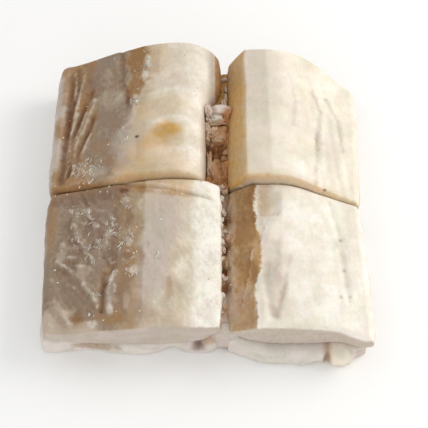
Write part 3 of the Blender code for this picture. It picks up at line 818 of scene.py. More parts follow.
def back_right_shades(x, y):
    layers = drawn_lines(x, y, BACK_RIGHT_LINES)[1]
    add_patches(x, y, BACK_RIGHT_PATCHES, layers)
    flank = (x + 0.7 * rough(x, y, 6, 91) - RIGHT_GROOVE_X) / back_right_flank(y)
    wall = smooth((1.16 - flank) / 0.42)
    clouds = rough(x, y, 20, 93)
    below_edge = y - right_seam(x) + 0.6 * noise(x, y, 11, 94)
    # Towards the seam the top loses light and takes gold and tan: partly the yellowed rolled rim, partly
    # painted shade at the seam
    front_rim = smooth((7.5 - below_edge) / 6)
    by_seam = smooth((2.6 - below_edge) / 2.2)
    facet = smooth((46.5 + 1.2 * noise(x, y, 16, 95) - x - 0.02 * y) / 3.5)
    add(layers, ash=0.30 * facet)
    light = layers["light"] + 0.48 - 0.2 * facet + 0.25 * clouds
    layers["light"] = light * (1 - wall) * (1 - 0.25 * front_rim)
    layers["ash"] = layers["ash"] * (1 - wall)
    add(layers, gold=0.8 * wall + 0.14 * front_rim + 0.36 * by_seam,
        ash=0.12 * wall,
        tan=wall * (0.10 + 0.25 * smooth((y - 60) / 45)) + 0.10 * by_seam,
        brown=0.2 * smooth((0.3 - flank) / 0.3))
    return shades(x, **layers)


def shelf_holes(x, y):
    """Return a rise of height 1 at each hole between the tatters of the front right block's foot."""
    return [bump(y - hole_y + 1.2 * noise(x, y, 4, 111), 4.6) for hole_y in SHELF_HOLES]


def shelf_depth(x, y):
    return smooth((17.5 - x) / 2) * np.clip(sum(shelf_holes(x, y)), 0, 1)


def lobes(x, y):
    """Return the torn lobes along the foot of the front right block."""
    return smooth((21 + 3 * noise(0.4 * x, y, 8, 124) - x) / 3) * smooth(1 + noise(x, y, 12, 125))


def front_right_fine(x, y):
    relief = skin(x, y, 101)
    side = side_of(x, y, RIGHT_WALL_EDGE, seed=102)[0]
    wall = smooth(0.5 - side / 3)
    relief += 0.22 * wall * fibres(x, y, -8, 22, 4.2, 102)
    relief += 0.5 * smooth((19 - x) / 3) * rough(x, y, 4.4, 112) - 0.9 * shelf_depth(x, y)
    relief += drawn_lines(x, y, FRONT_RIGHT_LINES)[0]
    for height, fall, _, seed, edge in TOP_FLAKES + (WALL_FLAKE,):
        relief += flake_lip(x, y, edge, height, fall, seed)
    relief += 0.5 * lobes(x, y)
    relief += 0.26 * (1 - wall) * rough(x, y, 13, 109)
    relief += 0.20 * fibres(x, y, -8, 36, 7, 110) * smooth((x - 60) / 20)
    for place in SMALL_MARKS:
        relief -= 0.4 * bump(np.hypot(x - place[0], y - place[1]), 1.2)
    return relief


def front_right_shades(x, y):
    layers = drawn_lines(x, y, FRONT_RIGHT_LINES)[1]
    add_patches(x, y, FRONT_RIGHT_PATCHES, layers)
    side = side_of(x, y, RIGHT_WALL_EDGE, seed=102)[0]
    wall = smooth(0.5 - (side + 1.3 * rough(x, y, 5, 122)) / 2)
    clouds = rough(x, y, 15, 123)
    for shade in layers:
        layers[shade] = layers[shade] * (1 - wall)
    add(layers, light=(0.55 + 0.25 * clouds + 0.2 * smooth((x - 52) / 10)) * (1 - wall))
    for _, _, pale, seed, edge in TOP_FLAKES + (WALL_FLAKE,):
        side, run = side_of(x, y, edge, seed=seed)
        add(layers, light=pale * run * bump(side - 0.6, 1.6), ash=0.35 * run * bump(side - 2, 2.6))
    foot = lobes(x, y)
    front = smooth((-72 - y) / 16)
    # The brown of shelf_depth is painted shade in the holes between the tatters of the foot
    add(layers, ash=0.5 * foot + 0.6 * wall * front,
        gold=0.8 * wall * (1 - 0.6 * front) * (1 - 0.85 * foot),
        tan=wall * (0.82 - 0.2 * front + 0.25 * clouds) * (1 - 0.3 * foot),
        brown=wall * (0.08 + 0.22 * smooth((y + 42) / 16)) + 0.6 * shelf_depth(x, y))
    for place in SMALL_MARKS:
        add(layers, grey=0.35 * bump(np.hypot(x - place[0], y - place[1]), 1.3))
    return shades(x, **layers)


def loin_wall_shades(x, y, z, normal_x, normal_y):
    """Outer cuts are pale and ashen; walls at the seam and the groove take tan, gold and brown below the
    top's colour, partly yellowed flesh and partly painted shade deep in the seams.
    """
    outer = outer_wall(x, y, normal_x, normal_y)
    layered = noise(x + y, 2.4 * z, 11, 131)
    light = 0.1 * outer * smooth(0.5 + layered)
    ash = (1 + 0.2 * layered) * outer
    grey = 0.12 * outer * smooth(0.5 - layered)
    return shades(x, light=light, ash=ash, grey=grey, tan=0.7 * (1 - outer), gold=0.3 * (1 - outer),
                  brown=0.25 * (1 - outer))


def under_wall_shades(x, y, z, normal_x, normal_y):
    """The lower edge is pale and ashen, with a stain and a yellowed knob and strip; painted shade darkens
    the hole and the edge beyond the knob, and partly the notch and the walls that face a neighbour.
    """
    outer = outer_wall(x, y, normal_x, normal_y)
    folded = noise(x + y, 2 * z, 9, 132)
    front = smooth((-95 - y) / 6)
    # Painted shade in the hole pushed into the front
    hole = bump(x + 4.5, 4.5) * smooth((z - 3) / 3) * front
    stain = patch(x, z, (-69, 8), (11, 4), 133) * front
    strip = between(x, 0, 10, 3) * smooth((z - 9) / 3) * front
    # The notch beside the knob is partly browned flesh, partly painted shade
    notch = bump(x - 77.5, 2.2) * front
    knob = between(x, 79, 93, 1.5) * front
    # Painted shade on the lower edge beyond the knob: less light, more tan
    shade_beyond_knob = smooth((x - 94) / 2) * front
    light = 0.55 * outer * smooth(0.6 + folded) * (1 - shade_beyond_knob) + 0.95 * knob
    ash = (0.35 + 0.25 * folded) * outer * (1 - knob)
    gold = 0.2 * knob + 0.3 * strip + 0.3 * notch
    tan = 0.5 * (1 - outer) + 0.5 * stain + 0.3 * strip + 0.3 * notch + 0.25 * shade_beyond_knob
    brown = 0.4 * (1 - outer) + 0.6 * hole + 0.15 * stain + 0.3 * notch
    return shades(x, light=light, ash=ash, gold=gold, tan=tan, brown=brown)


def fine_wall(x, y, z, normal_x, normal_y):
    """Return the fine layers that show on a cut across the flesh."""
    outer = outer_wall(x, y, normal_x, normal_y)
    layers = 0.16 * noise(0.35 * (x + y), z, 2.6, 141) + 0.10 * rough(x + y, z, 2, 142)
    return blend(0.75 + layers, layers, outer)


def fine_under_wall(x, y, z, normal_x, normal_y):
    """Return the soft folds that show on the edge of the lower layer."""
    outer = outer_wall(x, y, normal_x, normal_y)
    folds = 0.5 * noise(0.4 * (x + y), z + 0.04 * x, 4.2, 143) + 0.15 * rough(x + y, z, 2.4, 144)
    return outer * (folds - 0.2)


# Where loose fibres and crumbs lie: shares from 0 to 1 for fibres and for crumbs

BACK_LEFT_TUFTS = (
    ((-82, 16), (8, 8), 0.16), ((-42, 95), (2, 10), 0.25), ((-50, 66), (2, 6), 0.3),
    ((-58, 40), (3, 5), 0.15),
)
FRONT_LEFT_TUFTS = (
    ((-84, -18.5), (7, 2.6), 0.9), ((-84.5, -34), (4, 7), 0.5), ((-80, -45), (5, 4), 0.7),
    ((-73.5, -58), (4, 3), 0.8), ((-68, -46), (5, 3), 0.7), ((-61, -35), (3, 8), 0.6),
    ((-51, -48), (4, 8), 0.6), ((-72, -84), (5, 6), 0.3), ((-70.7, -106), (2.5, 2), 0.6),
    ((-53, -16), (4, 5), 0.6), ((-47, -66), (4, 5), 0.4), ((-74, -32), (5, 5), 0.4),
    ((-58.5, -77), (2, 6), 0.4), ((-33, -60), (5, 12), 0.12),
)


def tufts(x, y, table, seed):
    """Return the share of fibres from a table of tufts: place, half size and share."""
    return sum(share * patch(x, y, place, half_size, seed, 0.8) for place, half_size, share in table)


def back_left_strewn(x, y):
    fibre = tufts(x, y, BACK_LEFT_TUFTS, 161)
    specks = 0.010 + 0.05 * smooth((5 - y) / 4) + 0.05 * patch(x, y, (-44, 85), (6, 24), 163)
    torn = 0.4 * smooth((x + 3) / 3) * between(y, 52, 74, 4)
    return fibre, specks + torn + 0.10 * patch(x, y, (-82, 16), (9, 9), 162)


def front_left_strewn(x, y):
    fibre = tufts(x, y, FRONT_LEFT_TUFTS, 165) * smooth(2.2 * rough(x + 0.6 * y, 0.5 * y, 2.6, 166))
    specks = 0.012 + 0.10 * patch(x, y, (-51, -50), (5, 24), 167) + 0.05 * smooth((y + 6) / 4)
    return fibre, specks + 0.8 * smooth((x - 8.6) / 1.5) + 0.1 * patch(x, y, (-70, -103), (12, 4), 168)


def back_right_strewn(x, y):
    return 0 * x, 0.08 * smooth((17 - x) / 2) + 0.02 * smooth((4 - y) / 4)


def front_right_strewn(x, y):
    at_edges = 0
    for *_, seed, edge in TOP_FLAKES:
        side, run = side_of(x, y, edge, seed=seed)
        at_edges += run * bump(side, 1.6)
    return 0 * x, 0.10 * smooth((18 - x) / 2) + 0.05 * at_edges


BACK_ROW = (SEAM_Y, BACK_Y)
FRONT_ROW = (FRONT_Y, SEAM_Y)
LEFT_COLUMN = (LEFT_GROOVE_X, LEFT_BELLY_X)
RIGHT_COLUMN = (RIGHT_GROOVE_X, RIGHT_BELLY_X)
UNDER_GROOVE_X = 0.5 * (LEFT_GROOVE_X + RIGHT_GROOVE_X)
UNDER_LEFT_SIDES = (straight(UNDER_GROOVE_X - 0.5 * NEIGHBOUR_GAP), under_left_belly)
UNDER_RIGHT_SIDES = (straight(UNDER_GROOVE_X + 0.5 * NEIGHBOUR_GAP), under_right_belly)
BEHIND_LEFT_SEAM = straight(SEAM_Y - NEIGHBOUR_GAP)


def behind_right_seam(x):
    return right_seam(x) - NEIGHBOUR_GAP


BACK_LEFT = Block(
    "loin_back_left", back_left_groove, left_belly, straight(SEAM_Y), straight(BACK_Y),
    LEFT_COLUMN, BACK_ROW, wall_roughness, loin_wall_shades,
    back_left_top, back_left_fine, back_left_shades, back_left_strewn,
    ridge_heights=(48, 56.5), groove_heights=(30, 31), belly_heights=(27, 29.5), ridge_x=-20)
BACK_RIGHT = Block(
    "loin_back_right", straight(RIGHT_GROOVE_X), right_belly, right_seam, right_back,
    RIGHT_COLUMN, BACK_ROW, wall_roughness, loin_wall_shades,
    back_right_top, back_right_fine, back_right_shades, back_right_strewn,
    ridge_heights=(46.5, 49.5), groove_heights=(28, 32), belly_heights=(28, 26), ridge_x=41,
    flank_width=back_right_flank)
FRONT_LEFT = Block(
    "loin_front_left", front_left_groove, left_belly, straight(FRONT_Y), BEHIND_LEFT_SEAM,
    LEFT_COLUMN, FRONT_ROW, wall_roughness, loin_wall_shades,
    front_left_top, front_left_fine, front_left_shades, front_left_strewn,
    ridge_heights=(35.5, 42.5), groove_heights=(32, 35), belly_heights=(26, 27), ridge_x=-21)
FRONT_RIGHT = Block(
    "loin_front_right", front_right_groove, right_belly, right_front, behind_right_seam,
    RIGHT_COLUMN, FRONT_ROW, wall_roughness, loin_wall_shades,
    front_right_top, front_right_fine, front_right_shades, front_right_strewn,
    ridge_heights=(34.5, 38.5), groove_heights=(28, 28), belly_heights=(27, 27.5), ridge_x=44,
    flank_width=front_right_flank)
UNDER_BLOCKS = (
    Block("under_back_left", *UNDER_LEFT_SIDES, straight(SEAM_Y), straight(BACK_Y - 2),
          LEFT_COLUMN, BACK_ROW, wall_roughness, under_wall_shades),
    Block("under_back_right", *UNDER_RIGHT_SIDES, right_seam, lambda x: right_back(x) - 2,
          RIGHT_COLUMN, BACK_ROW, wall_roughness, under_wall_shades),
    Block("under_front_left", *UNDER_LEFT_SIDES, under_left_front, BEHIND_LEFT_SEAM,
          LEFT_COLUMN, FRONT_ROW, under_left_wall, under_wall_shades),
    Block("under_front_right", *UNDER_RIGHT_SIDES, under_right_front, behind_right_seam,
          RIGHT_COLUMN, FRONT_ROW, under_right_wall, under_wall_shades),
)


# Building the blocks

def grid_lines(count):
    """Return the shares from 0 to 1 of a block's grid, closer together near its edges."""
    steps = np.linspace(0, 1, count + 1)
    return steps - EDGE_CROWDING * np.sin(2 * math.pi * steps) / (2 * math.pi)


def border(across, along):
    """Return the grid places round a block: front, belly side, back, groove side."""
    front = [(i, 0) for i in range(across + 1)]
    belly = [(across, j) for j in range(1, along + 1)]
    back = [(i, along) for i in range(across - 1, -1, -1)]
    groove = [(0, j) for j in range(along - 1, 0, -1)]
    return front + belly + back + groove


def outward(x, y):
    """Return the directions in plan that point out of a closed line."""
    run_x = np.roll(x, -1) - np.roll(x, 1)
    run_y = np.roll(y, -1) - np.roll(y, 1)
    length = np.hypot(run_x, run_y)
    area = np.sum(x * np.roll(y, -1) - np.roll(x, -1) * y)
    turn = math.copysign(1, area)
    return turn * run_y / length, -turn * run_x / length


def in_metres(x, y, z):
    """Return a place in metres, measured from the middle of the footprint."""
    return np.stack([(x - PLAN_CENTRE[0]) * METRES, (y - PLAN_CENTRE[1]) * METRES, z * METRES], axis=-1)


def grid(across, along):
    """Return the places round a grid, the numbers of the corners there, and the grid's faces."""
    rim = tuple(np.array(border(across, along)).T)
    numbers = np.arange((across + 1) * (along + 1)).reshape(across + 1, along + 1)
    faces = np.stack([numbers[:-1, :-1], numbers[1:, :-1], numbers[1:, 1:], numbers[:-1, 1:]], axis=-1)
    return rim, numbers[rim], faces.reshape(-1, 4).tolist()


def band(upper, lower):
    """Return the faces between two closed rings of corners."""
    return np.stack([upper, np.roll(upper, -1), np.roll(lower, -1), lower], axis=-1).tolist()


def join_rings(upper, rings, count):
    """Return the faces that join an upper ring to the rings below it, and the lowest ring."""
    faces = []
    for _ in rings:
        lower = count + np.arange(len(upper))
        count += len(upper)
        faces += band(upper, lower)
        upper = lower
    return faces, upper


def strips(ring, across, along):
    """Return strips from front to back that close a ring."""
    ring = [int(corner) for corner in ring]
    faces = []
    for i in range(across):
        strip = [ring[i], ring[i + 1]]
        if i == across - 1:
            strip += [ring[across + j] for j in range(1, along)]
        strip += [ring[across + along + (across - i - 1)], ring[across + along + (across - i)]]
        if i == 0:
            strip += ring[2 * across + along + 1:]
        faces.append(strip)
    return faces


def detail(steps):
    share = 1
    return [max(8, int(count * share)) for count in steps]


def wall_rings(block, x, y, top, bottom, steps, rounded_top, fine):
    """Return the places, hollows and shades of a block's wall, ring by ring from the top down."""
    normal_x, normal_y = outward(x, y)
    rings = []
    for down in range(0 if rounded_top else 1, steps + 1):
        share = down / steps
        z = blend(top, bottom, share)
        edge = math.sin(math.pi * share) ** 0.5
        small = fine(x, y, z, normal_x, normal_y) * edge
        push = block.wall_relief(x, y, z, normal_x, normal_y) * edge + small
        push = push - rounded_inset(z - bottom, UNDERSIDE_RADIUS)
        if rounded_top:
            push = push - rounded_inset(top - z, UNDER_TOP_RADIUS)
        colour = block.wall_shades(x, y, z, normal_x, normal_y)
        rings.append((x + push * normal_x, y + push * normal_y, z, small, colour))
    return rings


def loin_piece(block):
    """Make one upper block: a fine top, walls and an underside that follows the lower layer."""
    across, along, steps = detail(LOIN_STEPS)
    s, t = np.meshgrid(grid_lines(across), grid_lines(along), indexing="ij")
    x, y = plan_point(block, s, t)
    width = abs(block.middle_x[1] - block.middle_x[0])
    depth = block.middle_y[1] - block.middle_y[0]
    drop = edge_drop(s, t, width, depth)
    inset = np.minimum(np.minimum(s, 1 - s) * width, np.minimum(t, 1 - t) * depth)
    relief = block.top_relief(x, y) + block.fine_relief(x, y) * smooth(inset / 2)
    z = section_height(block, x, y, t) + relief - drop
    rim, ring, faces = grid(across, along)
    edge_x, edge_y, edge_z = x[rim], y[rim], z[rim]
    bottom = underside_height(edge_x)
    rings = wall_rings(block, edge_x, edge_y, edge_z, bottom, steps, False, fine_wall)
    sides, lowest = join_rings(ring, rings, x.size)
    faces += sides + strips(lowest, across, along)
    hollow = relief - soften(relief, max(2, across // HOLLOWS_ACROSS))
    colour = block.top_shades(x, y)
    top_colour = colour[(slice(None),) + rim]
    corners = [in_metres(x, y, z).reshape(-1, 3)]
    hollows = [hollow.ravel()]
    colours = [colour.reshape(len(SHADES), -1)]
    for ring_x, ring_y, ring_z, small, ring_colour in rings:
        corners.append(in_metres(ring_x, ring_y, ring_z))
        hollows.append(small)
        outer = outer_wall(ring_x, ring_y, *outward(ring_x, ring_y))
        fade = blend(INNER_WALL_FADE, OUTER_WALL_FADE, outer)
        reach = smooth((edge_z - ring_z) / fade + 0.15 * noise(ring_x + ring_y, ring_z, 3, 9))
        colours.append(blend(top_colour, ring_colour, reach))
    piece = closed_piece(block.name + "_flesh", np.concatenate(corners), faces,
                         np.concatenate(hollows), np.concatenate(colours, axis=1))
    covered = np.zeros(len(rings) * len(ring))
    for area, share in zip(("fibre_area", "crumb_area"), block.strewn(x, y)):
        store(piece.data, area, np.concatenate([np.clip(share, 0, 1).ravel(), covered]))
    return piece


def under_piece(block):
    """Make one lower block: folded walls rounded at both edges and a covered top."""
    across, along, steps = detail(UNDER_STEPS)
    rim = np.array(border(across, along)).T
    edge_x, edge_y = plan_point(block, grid_lines(across)[rim[0]], grid_lines(along)[rim[1]])
    rings = wall_rings(block, edge_x, edge_y, layer_height(edge_x), 0 * edge_x, steps, True,
                       fine_under_wall)
    highest = np.arange(len(edge_x))
    sides, lowest = join_rings(highest, rings[1:], len(highest))
    faces = sides + strips(highest, across, along) + strips(lowest, across, along)
    corners = np.concatenate([in_metres(*ring[:3]) for ring in rings])
    hollows = np.concatenate([ring[3] for ring in rings])
    colours = np.concatenate([ring[4] for ring in rings], axis=1)
    return closed_piece(block.name + "_flesh", corners, faces, hollows, colours)


def store(mesh, name, values):
    """Keep one number for each vertex of a mesh, for its material or for strewing."""
    layer = mesh.attributes.new(name, "FLOAT", "POINT")
    layer.data.foreach_set("value", np.ascontiguousarray(values, dtype=np.float32))


def add_object(name, data):
    thing = bpy.data.objects.new(name, data)
    bpy.context.collection.objects.link(thing)
    return thing


def closed_piece(name, corners, faces, hollows, colours):
    """Make a closed mesh with its faces turned out, its hollows and its shades."""
    mesh = bpy.data.meshes.new(name)
    mesh.from_pydata(corners.tolist(), [], faces)
    shape = bmesh.new()
    shape.from_mesh(mesh)
    bmesh.ops.recalc_face_normals(shape, faces=shape.faces)
    shape.to_mesh(mesh)
    shape.free()
    mesh.shade_smooth()
    store(mesh, "hollow", hollows)
    for shade, values in zip(SHADES, colours):
        store(mesh, shade, values)
    return add_object(name, mesh)


# Materials

FLESH_IOR = 1.40
FLESH_GLOW_RADIUS = (1, 0.62, 0.38)
COOL_TINT = (0.975, 0.99, 0.955, 1)
WARM_TINT = (1.015, 0.99, 1.01, 1)


def linear(hex_colour):
    """Turn an sRGB hex colour into linear light."""
    channels = [int(hex_colour[i:i + 2], 16) / 255 for i in (1, 3, 5)]
    return tuple(c / 12.92 if c <= 0.04045 else ((c + 0.055) / 1.055) ** 2.4 for c in channels)


def add_node(tree, kind, inputs=None, **settings):
    """Add a node with its settings; each input is set to a value or linked to a socket."""
    node = tree.nodes.new(kind)
    for name, value in settings.items():
        setattr(node, name, value)
    for name, value in (inputs or {}).items():
        if isinstance(value, bpy.types.NodeSocket):
            tree.links.new(value, node.inputs[name])
        else:
            node.inputs[name].default_value = value
    return node


def calculate(tree, operation, *terms):
    return add_node(tree, "ShaderNodeMath", dict(enumerate(terms)), operation=operation).outputs[0]


def remap(tree, value, start, end, low=0, high=1, easing="LINEAR"):
    """Return a value moved from the range start to end into the range low to high."""
    ranges = {"Value": value, "From Min": start, "From Max": end, "To Min": low, "To Max": high}
    return add_node(tree, "ShaderNodeMapRange", ranges, interpolation_type=easing).outputs[0]


def mix(tree, share, under, over):
    """Return one colour laid over another by a share."""
    return add_node(tree, "ShaderNodeMix", {0: share, 6: under, 7: over}, data_type="RGBA").outputs[2]


def texture(tree, place, size_mm, detail, roughness=0.5):
    """Return noise from 0 to 1 with bumps of the given size in millimetres."""
    inputs = {"Vector": place, "Scale": 1 / (size_mm * METRES), "Detail": detail, "Roughness": roughness}
    return add_node(tree, "ShaderNodeTexNoise", inputs).outputs["Fac"]


def attribute(tree, name):
    return add_node(tree, "ShaderNodeAttribute", attribute_name=name).outputs["Fac"]


def vector_math(tree, operation, inputs):
    return add_node(tree, "ShaderNodeVectorMath", inputs, operation=operation).outputs["Vector"]


def new_material(name, softness, glow_mm):
    """Return a material of soft flesh, its tree, its shader and the place that textures are read at."""
    material = bpy.data.materials.new(name)
    material.use_nodes = True
    tree = material.node_tree
    shader = tree.nodes["Principled BSDF"]
    shader.inputs["IOR"].default_value = FLESH_IOR
    shader.inputs["Subsurface Weight"].default_value = softness
    shader.inputs["Subsurface Scale"].default_value = glow_mm * METRES
    return material, tree, shader, add_node(tree, "ShaderNodeTexCoord").outputs["Object"]


def flesh_material(name, colours, texture_mm, roughness, softness):
    """Dried salted cod: matt, fibrous flesh that lets a little light in, with painted shade in its
    hollows and painted highlight on its rises.
    """
    material, tree, shader, place = new_material(name, softness, 2)
    stretched = add_node(tree, "ShaderNodeMapping",
                         {"Vector": place, "Scale": (1, 0.6, 1)}).outputs["Vector"]
    blotches = texture(tree, place, 6 * texture_mm, 5, 0.6)
    grain = texture(tree, stretched, texture_mm, 6, 0.65)
    specks = texture(tree, place, 0.9, 3, 0.6)
    clouds = texture(tree, place, 16, 4, 0.55)
    unevenness = remap(tree, calculate(tree, "ADD", blotches, grain), 0.6, 1.4, 0.5, 1.5)
    colour = colours["flesh"]
    for shade in SHADES:
        amount = calculate(tree, "MULTIPLY", attribute(tree, shade), unevenness)
        colour = mix(tree, amount, colour, colours[shade])
    # Painted shade and highlight: brown is laid into the hollows of the relief and light over its rises
    hollow = attribute(tree, "hollow")
    colour = mix(tree, remap(tree, hollow, -0.05, -1.2, 0, 0.5, "SMOOTHSTEP"), colour, colours["brown"])
    colour = mix(tree, remap(tree, hollow, 0.08, 0.9, 0, 0.4, "SMOOTHSTEP"), colour, colours["light"])
    tint = mix(tree, remap(tree, clouds, 0.38, 0.62), COOL_TINT, WARM_TINT)
    colour = vector_math(tree, "MULTIPLY", {0: colour, 1: tint})
    mottle = remap(tree, calculate(tree, "MULTIPLY_ADD", specks, 0.35, blotches), 0.5, 0.85, 0.90, 1.07)
    colour = vector_math(tree, "SCALE", {0: colour, "Scale": mottle})
    height = calculate(tree, "MULTIPLY_ADD", specks, 0.35, grain)
    bumps = add_node(tree, "ShaderNodeBump",
                     {"Strength": 0.35, "Distance": 0.5 * METRES, "Height": height})
    dull = remap(tree, grain, 0.3, 0.7, roughness - 0.08, roughness + 0.12)
    tree.links.new(colour, shader.inputs["Base Color"])
    tree.links.new(dull, shader.inputs["Roughness"])
    tree.links.new(bumps.outputs["Normal"], shader.inputs["Normal"])
    shader.inputs["Subsurface Radius"].default_value = FLESH_GLOW_RADIUS
    return material


def palette(settings, flesh):
    """Return the colours of a material, with its own flesh colour under the shared shades."""
    colours = {shade: (*getattr(settings, shade), 1) for shade in SHADES}
    colours["flesh"] = (*flesh, 1)
    return colours


def crumb_material(name, colours, flesh_share):
    """Loose bits of dried flesh: chalky where they have dried through, tan where they were torn off."""
    material, tree, shader, place = new_material(name, 0.2, 0.8)
    from_bit_to_bit = texture(tree, place, 4, 3)
    share = remap(tree, from_bit_to_bit, 0.7 - 0.4 * flesh_share, 0.9 - 0.4 * flesh_share)
    tree.links.new(mix(tree, share, colours["light"], colours["flesh"]), shader.inputs["Base Color"])
    shader.inputs["Roughness"].default_value = 0.7
    return material


# Torn flesh in the groove

TORN_FLESH = (
    ("torn_flesh_front", 5, 30, 33),
    ("torn_flesh_middle", 40, 57.5, 38),
    ("torn_flesh_back", 59, 73, 42),
)
TORN_FLESH_CLEARANCE = 0.7
TORN_FLESH_FULLNESS = 0.7
TORN_SUBDIVISIONS = 6
FLANK_FOOT = 28
FLANK_RISE = 19
FLANK_RUN = 13

GROOVE_FRONT_Y = -107
GROOVE_BACK_Y = 113
GROOVE_BED_STEPS = (44, 620)
GROOVE_BED_OVERLAP = 1.2
GROOVE_BED_FOOT = 16.5
FRONT_FOLD_PLACE = (13.4, -102.4, 13.6)
FRONT_FOLD_SIZE = (10.5, 6.4, 12.6)

# Shreds that can be told apart: place, half size, turn in degrees, and how pale each is
SHREDS = (
    ((1.4, 66, 38.5), (2.8, 5.6, 2.4), 14, 0.75),
    ((3.4, 59, 36.6), (3.4, 3, 1.8), -25, 0.6),
    ((0.8, 53, 35.4), (2, 4.4, 1.8), 10, 0.55),
    ((7.4, 59.5, 38.4), (3.4, 2.2, 1.6), 12, 1),
    ((4.4, 51, 34), (3.8, 2.6, 1.8), 35, 0.4),
    ((6.4, 47, 34), (4.8, 1.4, 1.6), 40, 0.2),
    ((12.6, 76, 33), (1.8, 4.6, 3), 8, 0.55),
    ((13.4, 82.5, 32.6), (1.3, 4, 2.2), -6, 0.5),
    ((13.8, 92, 32.6), (0.9, 2.6, 1.2), 10, 0.6),
    ((12.6, 101.5, 32.6), (2.4, 1.1, 1.2), 15, 0.75),
    ((6.5, 57.8, 35), (6.2, 2.4, 2.6), 12, 0.3),
    ((1.4, 46.5, 33), (1.6, 6.4, 3), -8, 0.35),
    ((2.2, 24.5, 29.8), (1.8, 9.5, 2.6), 0, 0.35),
    ((14.6, 35.5, 29.5), (3.4, 2, 1.8), 50, 0.15),
    ((12.8, 31, 27.5), (2.4, 1.8, 1.8), 30, 0.1),
    ((10, 2.6, 31), (2.6, 1.8, 1.6), 20, 0.6),
    ((12.6, 0.6, 29.5), (2, 2, 1.6), -30, 0.45),
    ((11.6, -17, 29.4), (1.4, 2.6, 1.2), 15, 0.8),
    ((12.4, -32.5, 28), (3.4, 1.3, 1.1), 3, 0.8),
    ((15, -38, 28.6), (1.6, 3, 1.1), -8, 0.35),
    ((11.4, -47, 28.6), (1.3, 3.4, 1.2), 12, 0.55),
    ((14, -58.5, 27.6), (1.5, 4, 1.2), -6, 0.2),
    ((12.6, -70.5, 27.6), (3, 1.3, 1.1), 8, 0.65),
    ((13.4, -92, 26.6), (2.2, 3, 1.4), 12, 0.35),
)


def fuller(value):
    """Push a sphere's coordinate out towards a cube's."""
    return np.sign(value) * np.abs(value) ** TORN_FLESH_FULLNESS


def ball(level):
    """Return the corners of a unit ball as three arrays, and its faces."""
    shape = bmesh.new()
    bmesh.ops.create_icosphere(shape, subdivisions=level, radius=1)
    corners = np.array([corner.co for corner in shape.verts]).T
    faces = [[corner.index for corner in face.verts] for face in shape.faces]
    shape.free()
    return corners, faces


def torn_piece(name, front_y, back_y, top):
    """Make one ragged lump that fills the groove from the lower layer up."""
    (across, along, up), faces = ball(TORN_SUBDIVISIONS)
    bottom = LAYER_AT_GROOVE + LAYER_GAP
    uneven = noise(2 * across + 1.3 * up, 2 * along - up, 0.8, front_y)
    tattered = fibres(7 * across + 2 * along, 7 * up + 3 * along, 40, 6, 2.6, front_y + 1)
    crags = rough(2.4 * across + up, 2.4 * along + 2.4 * up, 1.9, front_y + 2)
    small = 0.03 * tattered + 0.10 * crags
    draw_in = 0.84 + 0.2 * np.minimum(1, uneven + 0.3) + small
    sloped = 3.5 * smooth(up) * (0.6 - along + 0.5 * across + 0.8 * uneven)
    z = blend(bottom, top, 0.5 + 0.5 * fuller(up) * draw_in) - np.maximum(0, sloped)
    y = blend(front_y, back_y, 0.5 + 0.5 * fuller(along) * draw_in)
    flank = FLANK_RUN * np.maximum(0, z - FLANK_FOOT) / FLANK_RISE
    left = back_left_groove(y) + TORN_FLESH_CLEARANCE - 1.2
    right = RIGHT_GROOVE_X + flank - TORN_FLESH_CLEARANCE + 1.2
    x = blend(left, right, 0.5 + 0.5 * fuller(across) * draw_in)
    # Painted shade: brown grows with depth below the top and in sunken crags, while the upper parts and
    # raised crags are painted lighter
    depth = smooth((top - 3.5 - z) / 7)
    pale = {"torn_flesh_back": 0.9, "torn_flesh_middle": 0.15}.get(name, 0.05)
    pale = pale * smooth((0.3 - across + 0.4 * crags) / 0.6)
    light = pale * (1 - depth) * smooth(0.7 + 0.8 * crags)
    ash = (0.12 + 0.6 * pale + 0.30 * smooth(-across)) * (1 - depth)
    tan = 0.35 * smooth(0.5 + uneven) * (1 - pale)
    brown = 0.12 * (1 - pale) + 0.55 * depth + 0.5 * smooth(-0.9 * crags)
    colours = shades(x, light=light, ash=ash, tan=tan, brown=brown)
    return closed_piece(name + "_lump", in_metres(x, y, z), faces, 6 * small, colours)


def groove_left(y):
    """Return the right-hand edge of the left blocks all along the groove."""
    return blend(front_left_groove(y), back_left_groove(y), smooth((y - 1) / 4))


def groove_right(y):
    """Return the left-hand edge of the right blocks all along the groove."""
    return blend(front_right_groove(y), RIGHT_GROOVE_X, smooth((y - 1) / 4))


def bed_height(x, y):
    """Return the height of the torn flesh at the bottom of the groove."""
    front = 27.6
    for hole in shelf_holes(x, y):
        front = front - 2.6 * hole
    back = np.interp(y, (2, 8, 27, 33, 38, 43, 57, 60, 70, 78),
                     (28, 28.5, 28.5, 25, 25, 31, 32, 35, 36, 31))
    height = blend(front, back, smooth((y + 1) / 5))
    crags = 0.8 + 1.4 * between(y, 4, 72, 3)
    return height + crags * rough(x, 0.6 * y, 4.6, 151) + 0.3 * fibres(x, y, 12, 8, 1.8, 152)


